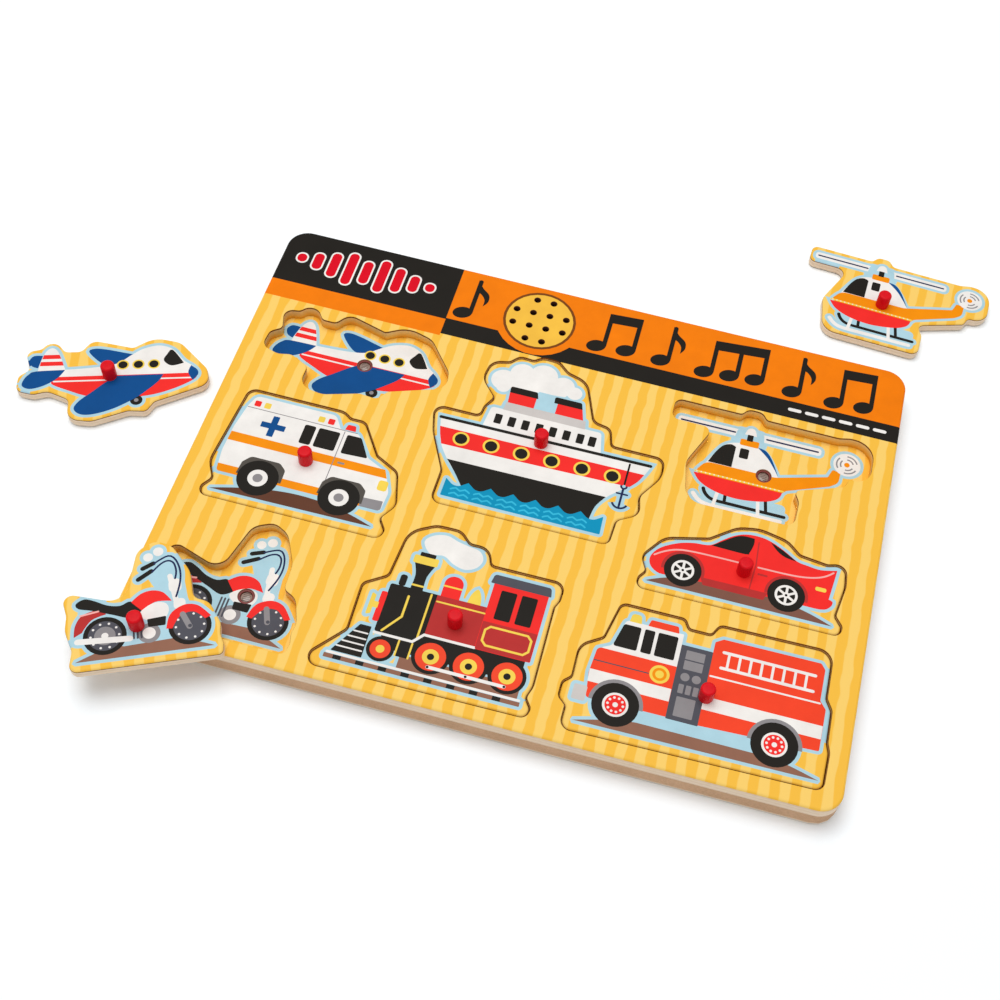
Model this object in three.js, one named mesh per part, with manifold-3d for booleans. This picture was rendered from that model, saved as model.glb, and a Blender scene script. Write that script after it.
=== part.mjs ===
// Wooden sound puzzle: a three-layer board with eight vehicle recesses, each with a light sensor in its
// floor, a speaker and a battery box under the header band, and eight flat vehicle pieces with pegs.
// Millimetres. X runs to the player's right, Y towards the header band and Z up.
// The origin is the centre of the board's underside, which lies on the table.

import * as THREE from "three";
import { mergeVertices } from "three/addons/utils/BufferGeometryUtils.js";
import Module from "manifold-3d";

// Facets and cuts
const ARC_STEP = THREE.MathUtils.degToRad(28);
const ROUND_SIDES = 20;
const PEG_SIDES = 16;
const SPEAKER_SIDES = 28;
const LEG_SIDES = 8;
const MERGE_DISTANCE = 1e-4;
const PAST = 1; // how far a cutter reaches past the face that it opens

// Board
const BOARD_LENGTH = 304.8;
const FACE_THICKNESS = 6;
const BACK_THICKNESS = 2;
const CORNER_RADIUS = 10;
const EDGE_EASE = 1.2;
const LEFT_MARGIN = 9.9; // between the outermost piece and the board's edge
const RIGHT_MARGIN = 8.8;
const FRONT_MARGIN = 6.2;
const HEADER_BAND = 42.1;

// Pieces and pegs
const PIECE_SINK = 0.6; // how far a seated piece lies below the face
const PIECE_EASE = 1;
const PIECE_FIT = 0.6; // gap round a seated piece
const PEG_DIAMETER = 6.4;
const PEG_HEIGHT = 8.2;
const PEG_ROUND = 1.1;
const PEG_STEM_DIAMETER = 4;
const PEG_STEM_LENGTH = 4;
const PEG_FIT = 0.2;

// Light sensors and their leads
const SENSOR_DIAMETER = 5;
const SENSOR_HEIGHT = 2;
const SENSOR_SINK = 0.9;
const SENSOR_LEG = 0.6;
const SENSOR_LEG_SPACING = 2.4;
const WINDOW_DIAMETER = 7.4; // the wide mouth of a sensor's hole
const LEAD_WIDTH = 1.6;
const LEAD_HEIGHT = 0.8;
const LEAD_FIT = 0.3;
const LEAD_OVERLAP = 2; // length of a lead past the middle of its sensor and under the circuit board
const POWER_LEAD_OFFSET = 4; // where the speaker's and battery's leads start, from the circuit board's middle

// Circuit board
const MODULE_LENGTH = 34;
const MODULE_WIDTH = 26;
const MODULE_THICKNESS = 1.2;
const CHIP_DIAMETER = 11;
const CHIP_HEIGHT = 1.1;
const CHIP_SHOULDER_DIAMETER = 7.4;
const CHIP_SHOULDER_HEIGHT = 0.9;
const MODULE_FIT = 0.4;
const MODULE_AT = [30, -25]; // from the board's middle

// Speaker and its grille
const SPEAKER_DIAMETER = 30;
const SPEAKER_FLANGE = 1.4;
const SPEAKER_RIM = 1.7;
const SPEAKER_WALL = 0.6;
const BASKET_DEPTH = 4;
const MAGNET_DIAMETER = 13;
const CONE_THICKNESS = 0.4;
const DUST_CAP_DIAMETER = 8;
const DUST_CAP_HEIGHT = 1;
const DUST_CAP_CROWN_DIAMETER = 4;
const DUST_CAP_CROWN_HEIGHT = 0.8;
const SPEAKER_FIT = 0.3;
const SPEAKER_FROM_LEFT = 129.2;
const SPEAKER_FROM_BACK = 20.7;
const GRILLE_HOLE = 3;
const GRILLE_PITCH = 8.1;
const GRILLE_ROWS = [2, 4, 4, 2];

// Battery box for two small cells, with its door
const CELL_DIAMETER = 10.5;
const CELL_LENGTH = 44.5;
const CELL_FIT = 0.25;
const NUB_DIAMETER = 3.8;
const NUB_LENGTH = 0.9;
const CONTACT_ROOM = 2.6;
const CONTACT_THICKNESS = 0.4;
const CONTACT_HEIGHT = 7;
const CONTACT_FIT = 0.3;
const TRAY_WALL = 1.6;
const TRAY_ROOF = 0.8;
const TRAY_FIT = 0.3;
const TRAY_SINK = 0.3; // the rim's height over the table
const TRAY_RADIUS = 2;
const TRAY_FROM_RIGHT = 92.4;
const FACE_SKIN = 1.2; // wood left over the box
const DOOR_THICKNESS = 1.4;
const DOOR_LEDGE = 0.9;
const DOOR_FIT = 0.2;
const GRIP_COUNT = 4;
const GRIP_FROM_END = 8.3;
const GRIP_PITCH = 2;
const GRIP_WIDTH = 0.8;
const GRIP_LENGTH = 11;
const GRIP_DEPTH = 0.4;
const BOSS_LENGTH = 7;
const SCREW_HEAD_DIAMETER = 4.6;
const SCREW_HEAD_HEIGHT = 0.8;
const SCREW_DIAMETER = 2.2;
const SCREW_LENGTH = 5;
const SCREW_FIT = 0.25;

// Loose pieces: turns about Z, and places measured from the board's edges
const PLANE_TURN = 19.5;
const PLANE_GAP = 10.2;
const PLANE_AHEAD = 124.6; // its peg behind the board's front edge
const HELICOPTER_TURN = -2.8;
const HELICOPTER_GAP = 22.4;
const HELICOPTER_INSET = 16.5; // its peg from the board's right edge
const MOTORCYCLE_TURN = 24.6;
const MOTORCYCLE_INSET = [14.1, 0.4]; // its peg from the board's left and front edges

// Each vehicle: the place of its peg when seated, its sensor's place from there, and its outline round the
// peg as corners with x, y and radius.
const VEHICLES = [
  {
    name: "plane",
    at: [-100, 48],
    sensor: [4.7, -0.2],
    colour: 0x1f4f96,
    outline: [
      [-39.2, 15.8, 3.5], [-32, 17, 4], [-27.2, 23.6, 4.5], [-21.3, 15, 3.5], [-14, 15, 3.5],
      [-9.3, 21.6, 5], [9.5, 16.4, 3], [19, 22.2, 12], [31.2, 18.8, 8], [43.7, 3, 6],
      [45.2, -5.7, 6], [20.5, -15.2, 3], [17, -20.5, 3], [9, -19.8, 5], [-7, -25.2, 8],
      [-18, -23.5, 6], [-17.8, -12.5, 3.5], [-27.5, -7.4, 6], [-34, -9, 6], [-41.8, -6.5, 4],
      [-41.2, 1.6, 3.5], [-36.2, 5.3, 3],
    ],
  },
  {
    name: "ambulance",
    at: [-102, -14.5],
    sensor: [0, 0],
    colour: 0xf4f1ee,
    outline: [
      [-36.5, 30, 4], [8.1, 30, 7], [11.5, 27.2, 4], [18.5, 27.3, 4], [29, 11.4, 4],
      [40.1, 5.6, 5], [44.7, -11.1, 6], [39.7, -19.1, 3], [43.5, -24.6, 2.5], [42.7, -29, 3.5],
      [-37.9, -29.1, 3.2], [-38.3, -25.1, 2.5], [-35.1, -20.1, 3], [-39.7, -11.6, 10],
    ],
  },
  {
    name: "ship",
    at: [-5, 25],
    sensor: [0, 0],
    colour: 0xf2332f,
    outline: [
      [-51.4, 6.4, 4], [-30, 6.4, 3], [-29.4, 12.3, 6], [-26.2, 18.6, 3], [-34.4, 27.8, 8],
      [-33, 38.2, 6], [-25, 40.2, 4], [-21.2, 44.7, 4], [-14.5, 44.2, 3], [-10.7, 47.2, 4],
      [-3.2, 47, 5], [2.3, 42.1, 6], [12.1, 39.3, 9], [20, 18.1, 5], [28.4, 16.6, 4],
      [30.8, 7.2, 3], [55.4, 7.2, 4], [56, -2.7, 12], [48.5, -15.2, 6], [50.7, -24.6, 5],
      [41.6, -30.2, 4], [40.9, -43.4, 3], [-38.4, -43.7, 4], [-38.2, -26.8, 6], [-47.7, -7.7, 20],
    ],
  },
  {
    name: "helicopter",
    at: [90, 39.5],
    sensor: [5.9, 1.4],
    colour: 0xff9408,
    outline: [
      [-40.5, 27.8, 3], [-9.5, 27.8, 3], [-7, 31.3, 3.5], [-1, 31.3, 3.5], [1.5, 27.6, 3],
      [36, 27.4, 8], [41, 28.7, 8], [52, 28.5, 9], [52, 7.3, 7], [43, 7, 2.5],
      [41.3, 2.3, 2.5], [19.3, -6.3, 3], [22.6, -12.5, 5], [22.4, -25.1, 4], [-25.8, -25.1, 8],
      [-27.4, -14.5, 8], [-29.2, -5.2, 8], [-20.2, 17.4, 4], [-40.5, 17.5, 3],
    ],
  },
  {
    name: "car",
    at: [95.5, -15],
    sensor: [0, 0],
    colour: 0xf4302f,
    outline: [
      [-43.2, -20.2, 3], [-42.8, -15.4, 2.5], [-40.3, -11.7, 2.5], [-43.8, -4.7, 5], [-36, 6.8, 9],
      [-17.2, 11.9, 5], [-6, 21, 12], [3.5, 22.9, 14], [16, 20.4, 10], [22.3, 14.8, 4],
      [35, 13.2, 4], [42.8, 15.7, 4], [43.8, 4.8, 12], [41.4, -10.7, 3], [45, -15.2, 2.5],
      [44.4, -19.5, 3],
    ],
  },
  {
    name: "train",
    at: [-16.5, -74],
    sensor: [0, 0],
    colour: 0xc23a36,
    outline: [
      [-32.8, 14, 4], [-31, 37.2, 10], [-20.5, 43.4, 8], [-9.8, 43.6, 6], [-4.5, 38.4, 4],
      [4, 38.6, 6], [6.9, 30.6, 3], [39.3, 30.8, 4], [39.1, 22.5, 4], [37.6, 19, 4],
      [38.2, -19, 8], [36.5, -24.8, 3], [39.5, -29, 2.5], [38.7, -33.2, 3], [-57, -34.1, 4],
      [-41.5, -15, 4], [-42.2, 7.5, 3.5],
    ],
  },
  {
    name: "fire_engine",
    at: [91, -78],
    sensor: [0, 0],
    colour: 0xf8471f,
    outline: [
      [-42.4, 32.6, 3], [-15.3, 32.7, 2.5], [-12.8, 28.4, 2.5], [-2.8, 28.4, 2.5], [-0.1, 33.8, 3],
      [47.8, 34.7, 6], [48.1, 12.7, 4], [50.9, 7.9, 4], [51.2, -6.8, 6], [52.6, -10.8, 6],
      [52.4, -27.3, 3.5], [-54.1, -29.5, 4], [-54.2, -19.3, 2.5], [-57.9, -16.1, 3], [-57.9, -9.5, 3],
      [-54.6, -6.3, 3], [-55, 8.7, 7], [-46, 14.8, 3.5],
    ],
  },
  {
    name: "motorcycle",
    at: [-112.7, -89.3],
    sensor: [8.1, 6.1],
    colour: 0xf4302f,
    outline: [
      [-29.8, 19.7, 3.5], [-4.8, 11.5, 7], [1.2, 35.8, 7], [9, 39.6, 5], [15.7, 36.1, 8],
      [22.4, 22.8, 12], [22.9, 10.3, 4], [29.2, 7.3, 6], [33.2, -3.2, 6], [32.6, -8.2, 5],
      [33.7, -12.7, 2.5], [33.1, -17.5, 2.2], [-27.4, -17.5, 3.5], [-25.8, -7.7, 4], [-28.4, 1.8, 8],
      [-27.7, 8.6, 5],
    ],
  },
];

const WOOD = 0xdcb48c;
const FIBREBOARD = 0xa87f5c;
const PRINT = 0xfcc454;
const PEG_RED = 0xe0141c;
const SENSOR_GREY = 0x8c7f76;
const WIRE_RED = 0xb02a22;
const LAMINATE_GREEN = 0x2f6b3c;
const RESIN_BLACK = 0x17171a;
const STEEL = 0xa8a8ac;
const PAPER_BLACK = 0x25221f;
const PLASTIC_BLACK = 0x26262a;
const CELL_GREY = 0x75797f;
const TIN = 0xc4c6c8;

const wasm = await Module();
wasm.setup();

// Heights of the layers. The board is as thick as the battery box and the wood over it.
const cellAxis = TRAY_SINK + DOOR_THICKNESS + CELL_FIT + CELL_DIAMETER / 2;
const trayTop = cellAxis + CELL_DIAMETER / 2 + CELL_FIT + TRAY_ROOF;
const boardTop = trayTop + TRAY_FIT + FACE_SKIN;
const recessFloor = boardTop - FACE_THICKNESS;
const pieceThickness = FACE_THICKNESS - PIECE_SINK;

// The vehicles are drawn in units of their own, which fill the board's length between its margins.
const drawn = new THREE.Box2().setFromPoints(
  VEHICLES.flatMap(({ at, outline }) => outline.map(([x, y]) => new THREE.Vector2(at[0] + x, at[1] + y))),
);
const unit = (BOARD_LENGTH - LEFT_MARGIN - RIGHT_MARGIN) / (drawn.max.x - drawn.min.x);
for (const vehicle of VEHICLES) {
  vehicle.at = vehicle.at.map((v) => v * unit);
  vehicle.sensor = vehicle.sensor.map((v) => v * unit);
  vehicle.outline = vehicle.outline.map((corner) => corner.map((v) => v * unit));
}

const edge = {
  left: drawn.min.x * unit - LEFT_MARGIN,
  right: drawn.max.x * unit + RIGHT_MARGIN,
  front: drawn.min.y * unit - FRONT_MARGIN,
  back: drawn.max.y * unit + HEADER_BAND,
};
const boardCentre = new THREE.Vector2((edge.left + edge.right) / 2, (edge.front + edge.back) / 2);

// Solids

function solidOf(geometry) {
  const bare = geometry.clone();
  bare.deleteAttribute("normal");
  bare.deleteAttribute("uv");
  const merged = mergeVertices(bare, MERGE_DISTANCE);
  const vertProperties = new Float32Array(merged.attributes.position.array);
  const triVerts = new Uint32Array(merged.index.array);
  return new wasm.Manifold(new wasm.Mesh({ numProp: 3, vertProperties, triVerts }));
}

function geometryOf(solid) {
  const { vertProperties, triVerts } = solid.getMesh();
  const geometry = new THREE.BufferGeometry();
  geometry.setAttribute("position", new THREE.BufferAttribute(vertProperties, 3));
  geometry.setIndex(new THREE.BufferAttribute(triVerts, 1));
  geometry.computeVertexNormals();
  return geometry;
}

function cut(geometry, cutters) {
  return geometryOf(cutters.reduce((solid, cutter) => solid.subtract(solidOf(cutter)), solidOf(geometry)));
}

function join(geometries) {
  return geometryOf(geometries.map(solidOf).reduce((a, b) => a.add(b)));
}

// A box between two heights, round a centre in plan.
function block([x, y], length, width, low, high) {
  return new THREE.BoxGeometry(length, width, high - low).translate(x, y, (low + high) / 2);
}

function cylinder([x, y], diameter, low, high, sides = ROUND_SIDES) {
  return new THREE.CylinderGeometry(diameter / 2, diameter / 2, high - low, sides)
    .rotateX(Math.PI / 2)
    .translate(x, y, (low + high) / 2);
}

// A body of revolution about Z from [radius, height] pairs, listed from the bottom of the axis upwards.
function revolve(profile, sides = ROUND_SIDES) {
  const points = profile.map(([r, z]) => new THREE.Vector2(r, z));
  return new THREE.LatheGeometry(points, sides).rotateX(Math.PI / 2);
}

function circlePoints(x, y, radius, start, sweep) {
  const steps = Math.max(1, Math.ceil(Math.abs(sweep) / ARC_STEP));
  return Array.from({ length: steps + 1 }, (_, i) => {
    const angle = start + (sweep * i) / steps;
    return new THREE.Vector2(x + radius * Math.cos(angle), y + radius * Math.sin(angle));
  });
}

// Corners [x, y, radius] moved outwards by a distance: round corners grow and hollow ones shrink.
function grown(corners, distance) {
  const points = corners.map(([x, y]) => new THREE.Vector2(x, y));
  const turn = Math.sign(THREE.ShapeUtils.area(points));
  const outward = (from, to) => {
    const along = to.clone().sub(from).normalize();
    return new THREE.Vector2(along.y * turn, -along.x * turn);
  };
  return corners.map(([x, y, radius], i) => {
    const before = outward(points.at(i - 1), points[i]);
    const after = outward(points[i], points[(i + 1) % points.length]);
    const hollow = before.cross(after) * turn < 0;
    const step = distance / (1 + before.dot(after));
    const move = before.add(after).multiplyScalar(step);
    return [x + move.x, y + move.y, radius + (hollow ? -distance : distance)];
  });
}

// The closed outline of rounded corners, as a shape.
function roundedShape(corners) {
  const points = corners.flatMap(([x, y, radius], i) => {
    const corner = new THREE.Vector2(x, y);
    const back = new THREE.Vector2(...corners.at(i - 1)).sub(corner).normalize();
    const on = new THREE.Vector2(...corners[(i + 1) % corners.length]).sub(corner).normalize();
    const half = Math.acos(THREE.MathUtils.clamp(back.dot(on), -1, 1)) / 2;
    const centre = back.clone().add(on).normalize().multiplyScalar(radius / Math.sin(half)).add(corner);
    const start = back.multiplyScalar(radius / Math.tan(half)).add(corner).sub(centre).angle();
    const end = on.multiplyScalar(radius / Math.tan(half)).add(corner).sub(centre).angle();
    const sweep = THREE.MathUtils.euclideanModulo(end - start + Math.PI, 2 * Math.PI) - Math.PI;
    return circlePoints(centre.x, centre.y, radius, start, sweep);
  });
  return new THREE.Shape(points);
}

function rectangle([x, y], length, width, radius) {
  const [a, b] = [length / 2, width / 2];
  return [[x - a, y - b, radius], [x + a, y - b, radius], [x + a, y + b, radius], [x - a, y + b, radius]];
}

// A flat body between two heights, its edges eased by a bevel where one is given.
function slab(corners, low, high, ease = 0) {
  return new THREE.ExtrudeGeometry(roundedShape(corners), {
    depth: high - low - 2 * ease,
    bevelEnabled: ease > 0,
    bevelThickness: ease,
    bevelSize: ease,
    bevelOffset: -ease,
    bevelSegments: 1,
  }).translate(0, 0, low + ease);
}

function moved(corners, [x, y]) {
  return corners.map(([cx, cy, radius]) => [cx + x, cy + y, radius]);
}

const part = new THREE.Group();
part.position.set(-boardCentre.x, -boardCentre.y, 0);

function add(name, geometry, color, roughness, metalness = 0, parent = part) {
  const mesh = new THREE.Mesh(geometry, new THREE.MeshStandardMaterial({ color, roughness, metalness }));
  mesh.name = name;
  parent.add(mesh);
  return mesh;
}

// Places and outlines that several pieces share

const speakerAt = [edge.left + SPEAKER_FROM_LEFT, edge.back - SPEAKER_FROM_BACK];
const trayAt = [edge.right - TRAY_FROM_RIGHT, edge.back - HEADER_BAND / 2];
const moduleAt = [boardCentre.x + MODULE_AT[0], boardCentre.y + MODULE_AT[1]];

const bayWidth = CELL_DIAMETER + 2 * CELL_FIT;
const bayPitch = bayWidth + TRAY_WALL;
const roomLength = CELL_LENGTH + 2 * CONTACT_ROOM;
const roomWidth = bayPitch + bayWidth;
const trayLength = roomLength + BOSS_LENGTH + 2 * TRAY_WALL;
const trayWidth = roomWidth + 2 * TRAY_WALL;
const roomAt = [trayAt[0] - BOSS_LENGTH / 2, trayAt[1]];
const screwAt = [trayAt[0] + trayLength / 2 - TRAY_WALL - BOSS_LENGTH / 2, trayAt[1]];
const ledgeHeight = TRAY_SINK + DOOR_THICKNESS;
const trayOutline = rectangle(trayAt, trayLength, trayWidth, TRAY_RADIUS);
const doorOutline = grown(trayOutline, -DOOR_LEDGE);

const leadLow = BACK_THICKNESS + LEAD_FIT;
const leadTop = leadLow + LEAD_HEIGHT;
const moduleLow = leadTop + LEAD_FIT;
const chipTop = moduleLow + MODULE_THICKNESS + CHIP_HEIGHT;

const sensorAt = ({ at, sensor }) => [at[0] + sensor[0], at[1] + sensor[1]];
const speakerEnd = [speakerAt[0], speakerAt[1] - SPEAKER_DIAMETER / 2];
const batteryEnd = [trayAt[0], trayAt[1] - trayWidth / 2 - TRAY_FIT];
const LEADS = [
  ...VEHICLES.map((vehicle) => ({
    name: vehicle.name,
    end: sensorAt(vehicle),
    past: LEAD_OVERLAP,
    offset: 0,
  })),
  { name: "speaker", end: speakerEnd, past: 0, offset: POWER_LEAD_OFFSET },
  { name: "battery", end: batteryEnd, past: 0, offset: POWER_LEAD_OFFSET },
];

// A straight run between the circuit board's edge and a lead's far end, as a section swept along it.
function run({ end, past, offset }, width, low, high) {
  const centre = new THREE.Vector2(moduleAt[0] + offset, moduleAt[1]);
  const along = new THREE.Vector2(...end).sub(centre);
  const half = [MODULE_LENGTH / 2, MODULE_WIDTH / 2];
  const total = along.length();
  along.normalize();
  const rim = Math.min(half[0] / Math.abs(along.x), half[1] / Math.abs(along.y));
  const length = total + past - (rim - LEAD_OVERLAP);
  return block([rim - LEAD_OVERLAP + length / 2, 0], length, width, low, high)
    .rotateZ(along.angle())
    .translate(centre.x, centre.y, 0);
}

// The board's layers, sliced from one blank

const blankOutline = rectangle(
  [boardCentre.x, boardCentre.y],
  edge.right - edge.left,
  edge.back - edge.front,
  CORNER_RADIUS,
);

function layer(low, high) {
  const blank = solidOf(slab(blankOutline, 0, boardTop, EDGE_EASE));
  const length = edge.right - edge.left + 2 * PAST;
  const width = edge.back - edge.front + 2 * PAST;
  const slice = block([boardCentre.x, boardCentre.y], length, width, low, high);
  return geometryOf(blank.intersect(solidOf(slice)));
}

const trayPocket = slab(grown(trayOutline, TRAY_FIT), -PAST, trayTop + TRAY_FIT);

function facePlate() {
  const recesses = VEHICLES.map(({ at, outline }) =>
    slab(moved(grown(outline, PIECE_FIT), at), recessFloor - PAST, boardTop + PAST),
  );
  const holes = GRILLE_ROWS.flatMap((count, row) =>
    Array.from({ length: count }, (_, i) => {
      const x = speakerAt[0] + (i - (count - 1) / 2) * GRILLE_PITCH;
      const y = speakerAt[1] + ((GRILLE_ROWS.length - 1) / 2 - row) * GRILLE_PITCH;
      return cylinder([x, y], GRILLE_HOLE, recessFloor - PAST, boardTop + PAST, PEG_SIDES);
    }),
  );
  return cut(layer(recessFloor, boardTop), [...recesses, ...holes, trayPocket]);
}

function corePanel() {
  const wells = VEHICLES.flatMap((vehicle) => {
    const at = sensorAt(vehicle);
    return [
      cylinder(at, SENSOR_DIAMETER + 2 * LEAD_FIT, BACK_THICKNESS - PAST, recessFloor + PAST),
      cylinder(at, WINDOW_DIAMETER, recessFloor - SENSOR_SINK, recessFloor + PAST),
    ];
  });
  const channelWidth = LEAD_WIDTH + 2 * LEAD_FIT;
  const channels = LEADS.map((lead) => run(lead, channelWidth, BACK_THICKNESS - PAST, moduleLow));
  const modulePocket = block(
    moduleAt,
    MODULE_LENGTH + 2 * MODULE_FIT,
    MODULE_WIDTH + 2 * MODULE_FIT,
    BACK_THICKNESS - PAST,
    chipTop + MODULE_FIT,
  );
  const speakerPocket = cylinder(
    speakerAt,
    SPEAKER_DIAMETER + 2 * SPEAKER_FIT,
    BACK_THICKNESS - PAST,
    recessFloor + PAST,
    SPEAKER_SIDES,
  );
  const pockets = [modulePocket, speakerPocket, trayPocket];
  return cut(layer(BACK_THICKNESS, recessFloor), [...wells, ...channels, ...pockets]);
}

function backPanel() {
  return cut(layer(0, BACK_THICKNESS), [trayPocket]);
}

add("face_plate", facePlate(), PRINT, 0.5);
add("core_panel", corePanel(), FIBREBOARD, 0.8);
add("back_panel", backPanel(), WOOD, 0.7);

// Vehicle pieces, each in a group at its peg

function pieceBody(outline) {
  const socket = cylinder(
    [0, 0],
    PEG_STEM_DIAMETER + 2 * PEG_FIT,
    pieceThickness - PEG_STEM_LENGTH - PEG_FIT,
    pieceThickness + PAST,
    PEG_SIDES,
  );
  return cut(slab(outline, 0, pieceThickness, PIECE_EASE), [socket]);
}

function pegBody() {
  const radius = PEG_DIAMETER / 2;
  const round = circlePoints(radius - PEG_ROUND, PEG_HEIGHT - PEG_ROUND, PEG_ROUND, 0, Math.PI / 2);
  const profile = [
    [0, -PEG_STEM_LENGTH],
    [PEG_STEM_DIAMETER / 2, -PEG_STEM_LENGTH],
    [PEG_STEM_DIAMETER / 2, 0],
    [radius, 0],
    ...round.map(({ x, y }) => [x, y]),
    [0, PEG_HEIGHT],
  ];
  return revolve(profile, PEG_SIDES).translate(0, 0, pieceThickness);
}

// The greatest reach of a turned outline along a direction in plan.
function furthest(outline, turn, direction) {
  const origin = new THREE.Vector2();
  const turned = roundedShape(outline).getPoints().map((point) => point.rotateAround(origin, turn));
  return Math.max(...turned.map((point) => point.dot(direction)));
}

// Where a piece lies: in its recess, or loose on the table or on the board's corner.
function restOf({ name, at, outline }) {
  if (name === "plane") {
    const turn = THREE.MathUtils.degToRad(PLANE_TURN);
    const x = edge.left - PLANE_GAP - furthest(outline, turn, new THREE.Vector2(1, 0));
    return { x, y: edge.front + PLANE_AHEAD, z: 0, turn };
  }
  if (name === "helicopter") {
    const turn = THREE.MathUtils.degToRad(HELICOPTER_TURN);
    const y = edge.back + HELICOPTER_GAP + furthest(outline, turn, new THREE.Vector2(0, -1));
    return { x: edge.right - HELICOPTER_INSET, y, z: 0, turn };
  }
  if (name === "motorcycle") {
    const [x, y] = MOTORCYCLE_INSET;
    const turn = THREE.MathUtils.degToRad(MOTORCYCLE_TURN);
    return { x: edge.left + x, y: edge.front + y, z: boardTop, turn };
  }
  return { x: at[0], y: at[1], z: recessFloor, turn: 0 };
}

for (const vehicle of VEHICLES) {
  const { x, y, z, turn } = restOf(vehicle);
  const place = new THREE.Group();
  place.position.set(x, y, z);
  place.rotation.z = turn;
  part.add(place);
  add(`${vehicle.name}_piece`, pieceBody(vehicle.outline), vehicle.colour, 0.45, 0, place);
  add(`${vehicle.name}_peg`, pegBody(), PEG_RED, 0.35, 0, place);
}

// Light sensors, each a disc on two legs over the end of its lead

function sensorBody(lead) {
  const top = recessFloor - SENSOR_SINK;
  const foot = leadTop + LEAD_FIT;
  const along = new THREE.Vector2(...lead.end).sub(new THREE.Vector2(...moduleAt)).normalize();
  const legs = [-1, 1].map((side) => {
    const offset = along.clone().multiplyScalar((side * SENSOR_LEG_SPACING) / 2);
    return cylinder([offset.x, offset.y], SENSOR_LEG, foot, top - SENSOR_HEIGHT / 2, LEG_SIDES);
  });
  const disc = cylinder([0, 0], SENSOR_DIAMETER, top - SENSOR_HEIGHT, top);
  return join([disc, ...legs]).translate(...lead.end, 0);
}

for (const lead of LEADS) {
  if (VEHICLES.some(({ name }) => name === lead.name)) {
    add(`${lead.name}_sensor`, sensorBody(lead), SENSOR_GREY, 0.4);
  }
  add(`${lead.name}_lead`, run(lead, LEAD_WIDTH, leadLow, leadTop), WIRE_RED, 0.5);
}

// Circuit board with its chip under a drop of resin

const chipDome = [
  [0, 0],
  [CHIP_DIAMETER / 2, 0],
  [CHIP_SHOULDER_DIAMETER / 2, CHIP_SHOULDER_HEIGHT],
  [0, CHIP_HEIGHT],
];
add(
  "sound_board",
  block(moduleAt, MODULE_LENGTH, MODULE_WIDTH, moduleLow, moduleLow + MODULE_THICKNESS),
  LAMINATE_GREEN,
  0.4,
);
add("sound_chip", revolve(chipDome).translate(...moduleAt, moduleLow + MODULE_THICKNESS), RESIN_BLACK, 0.3);

// Speaker: a basket hung from the face plate, with a cone in it and a magnet behind

const basketRadius = SPEAKER_DIAMETER / 2;
const basketMouth = basketRadius - SPEAKER_FLANGE;
const magnetRadius = MAGNET_DIAMETER / 2;

function speakerBasket() {
  const floor = recessFloor - BASKET_DEPTH;
  return revolve(
    [
      [0, floor],
      [magnetRadius, floor],
      [basketMouth, recessFloor - SPEAKER_RIM],
      [basketRadius, recessFloor - SPEAKER_RIM],
      [basketRadius, recessFloor],
      [basketMouth, recessFloor],
      [basketMouth - SPEAKER_WALL, recessFloor - SPEAKER_RIM + SPEAKER_WALL],
      [magnetRadius, floor + SPEAKER_WALL],
      [0, floor + SPEAKER_WALL],
    ],
    SPEAKER_SIDES,
  ).translate(...speakerAt, 0);
}

function speakerCone() {
  const floor = recessFloor - BASKET_DEPTH + SPEAKER_WALL + SPEAKER_FIT;
  const rim = recessFloor - SPEAKER_RIM + SPEAKER_WALL + SPEAKER_FIT;
  return revolve(
    [
      [0, floor],
      [magnetRadius - SPEAKER_FIT, floor],
      [basketMouth - SPEAKER_WALL - SPEAKER_FIT, rim],
      [basketMouth - SPEAKER_WALL - SPEAKER_FIT, rim + CONE_THICKNESS],
      [magnetRadius - SPEAKER_FIT, floor + CONE_THICKNESS],
      [DUST_CAP_DIAMETER / 2, floor + CONE_THICKNESS],
      [DUST_CAP_CROWN_DIAMETER / 2, floor + DUST_CAP_CROWN_HEIGHT],
      [0, floor + DUST_CAP_HEIGHT],
    ],
    SPEAKER_SIDES,
  ).translate(...speakerAt, 0);
}

add("speaker_basket", speakerBasket(), STEEL, 0.35, 0.9);
add("speaker_cone", speakerCone(), PAPER_BLACK, 0.9);
add(
  "speaker_magnet",
  cylinder(speakerAt, MAGNET_DIAMETER, BACK_THICKNESS + SPEAKER_FIT, recessFloor - BASKET_DEPTH),
  STEEL,
  0.4,
  0.9,
);

// Battery box

// One bay for a cell: round over the cell and open downwards, swept along the cell.
function cellBay(y) {
  const half = bayWidth / 2;
  const arch = circlePoints(0, cellAxis, half, 0, Math.PI);
  const shape = new THREE.Shape([
    new THREE.Vector2(-half, TRAY_SINK - PAST),
    new THREE.Vector2(half, TRAY_SINK - PAST),
    ...arch,
  ]);
  const standing = new THREE.Matrix4().makeBasis(
    new THREE.Vector3(0, 1, 0),
    new THREE.Vector3(0, 0, 1),
    new THREE.Vector3(1, 0, 0),
  );
  return new THREE.ExtrudeGeometry(shape, { depth: roomLength, bevelEnabled: false })
    .applyMatrix4(standing)
    .translate(roomAt[0] - roomLength / 2, y, 0);
}

const bayRows = [-1, 1].map((side) => trayAt[1] + (side * bayPitch) / 2);

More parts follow.
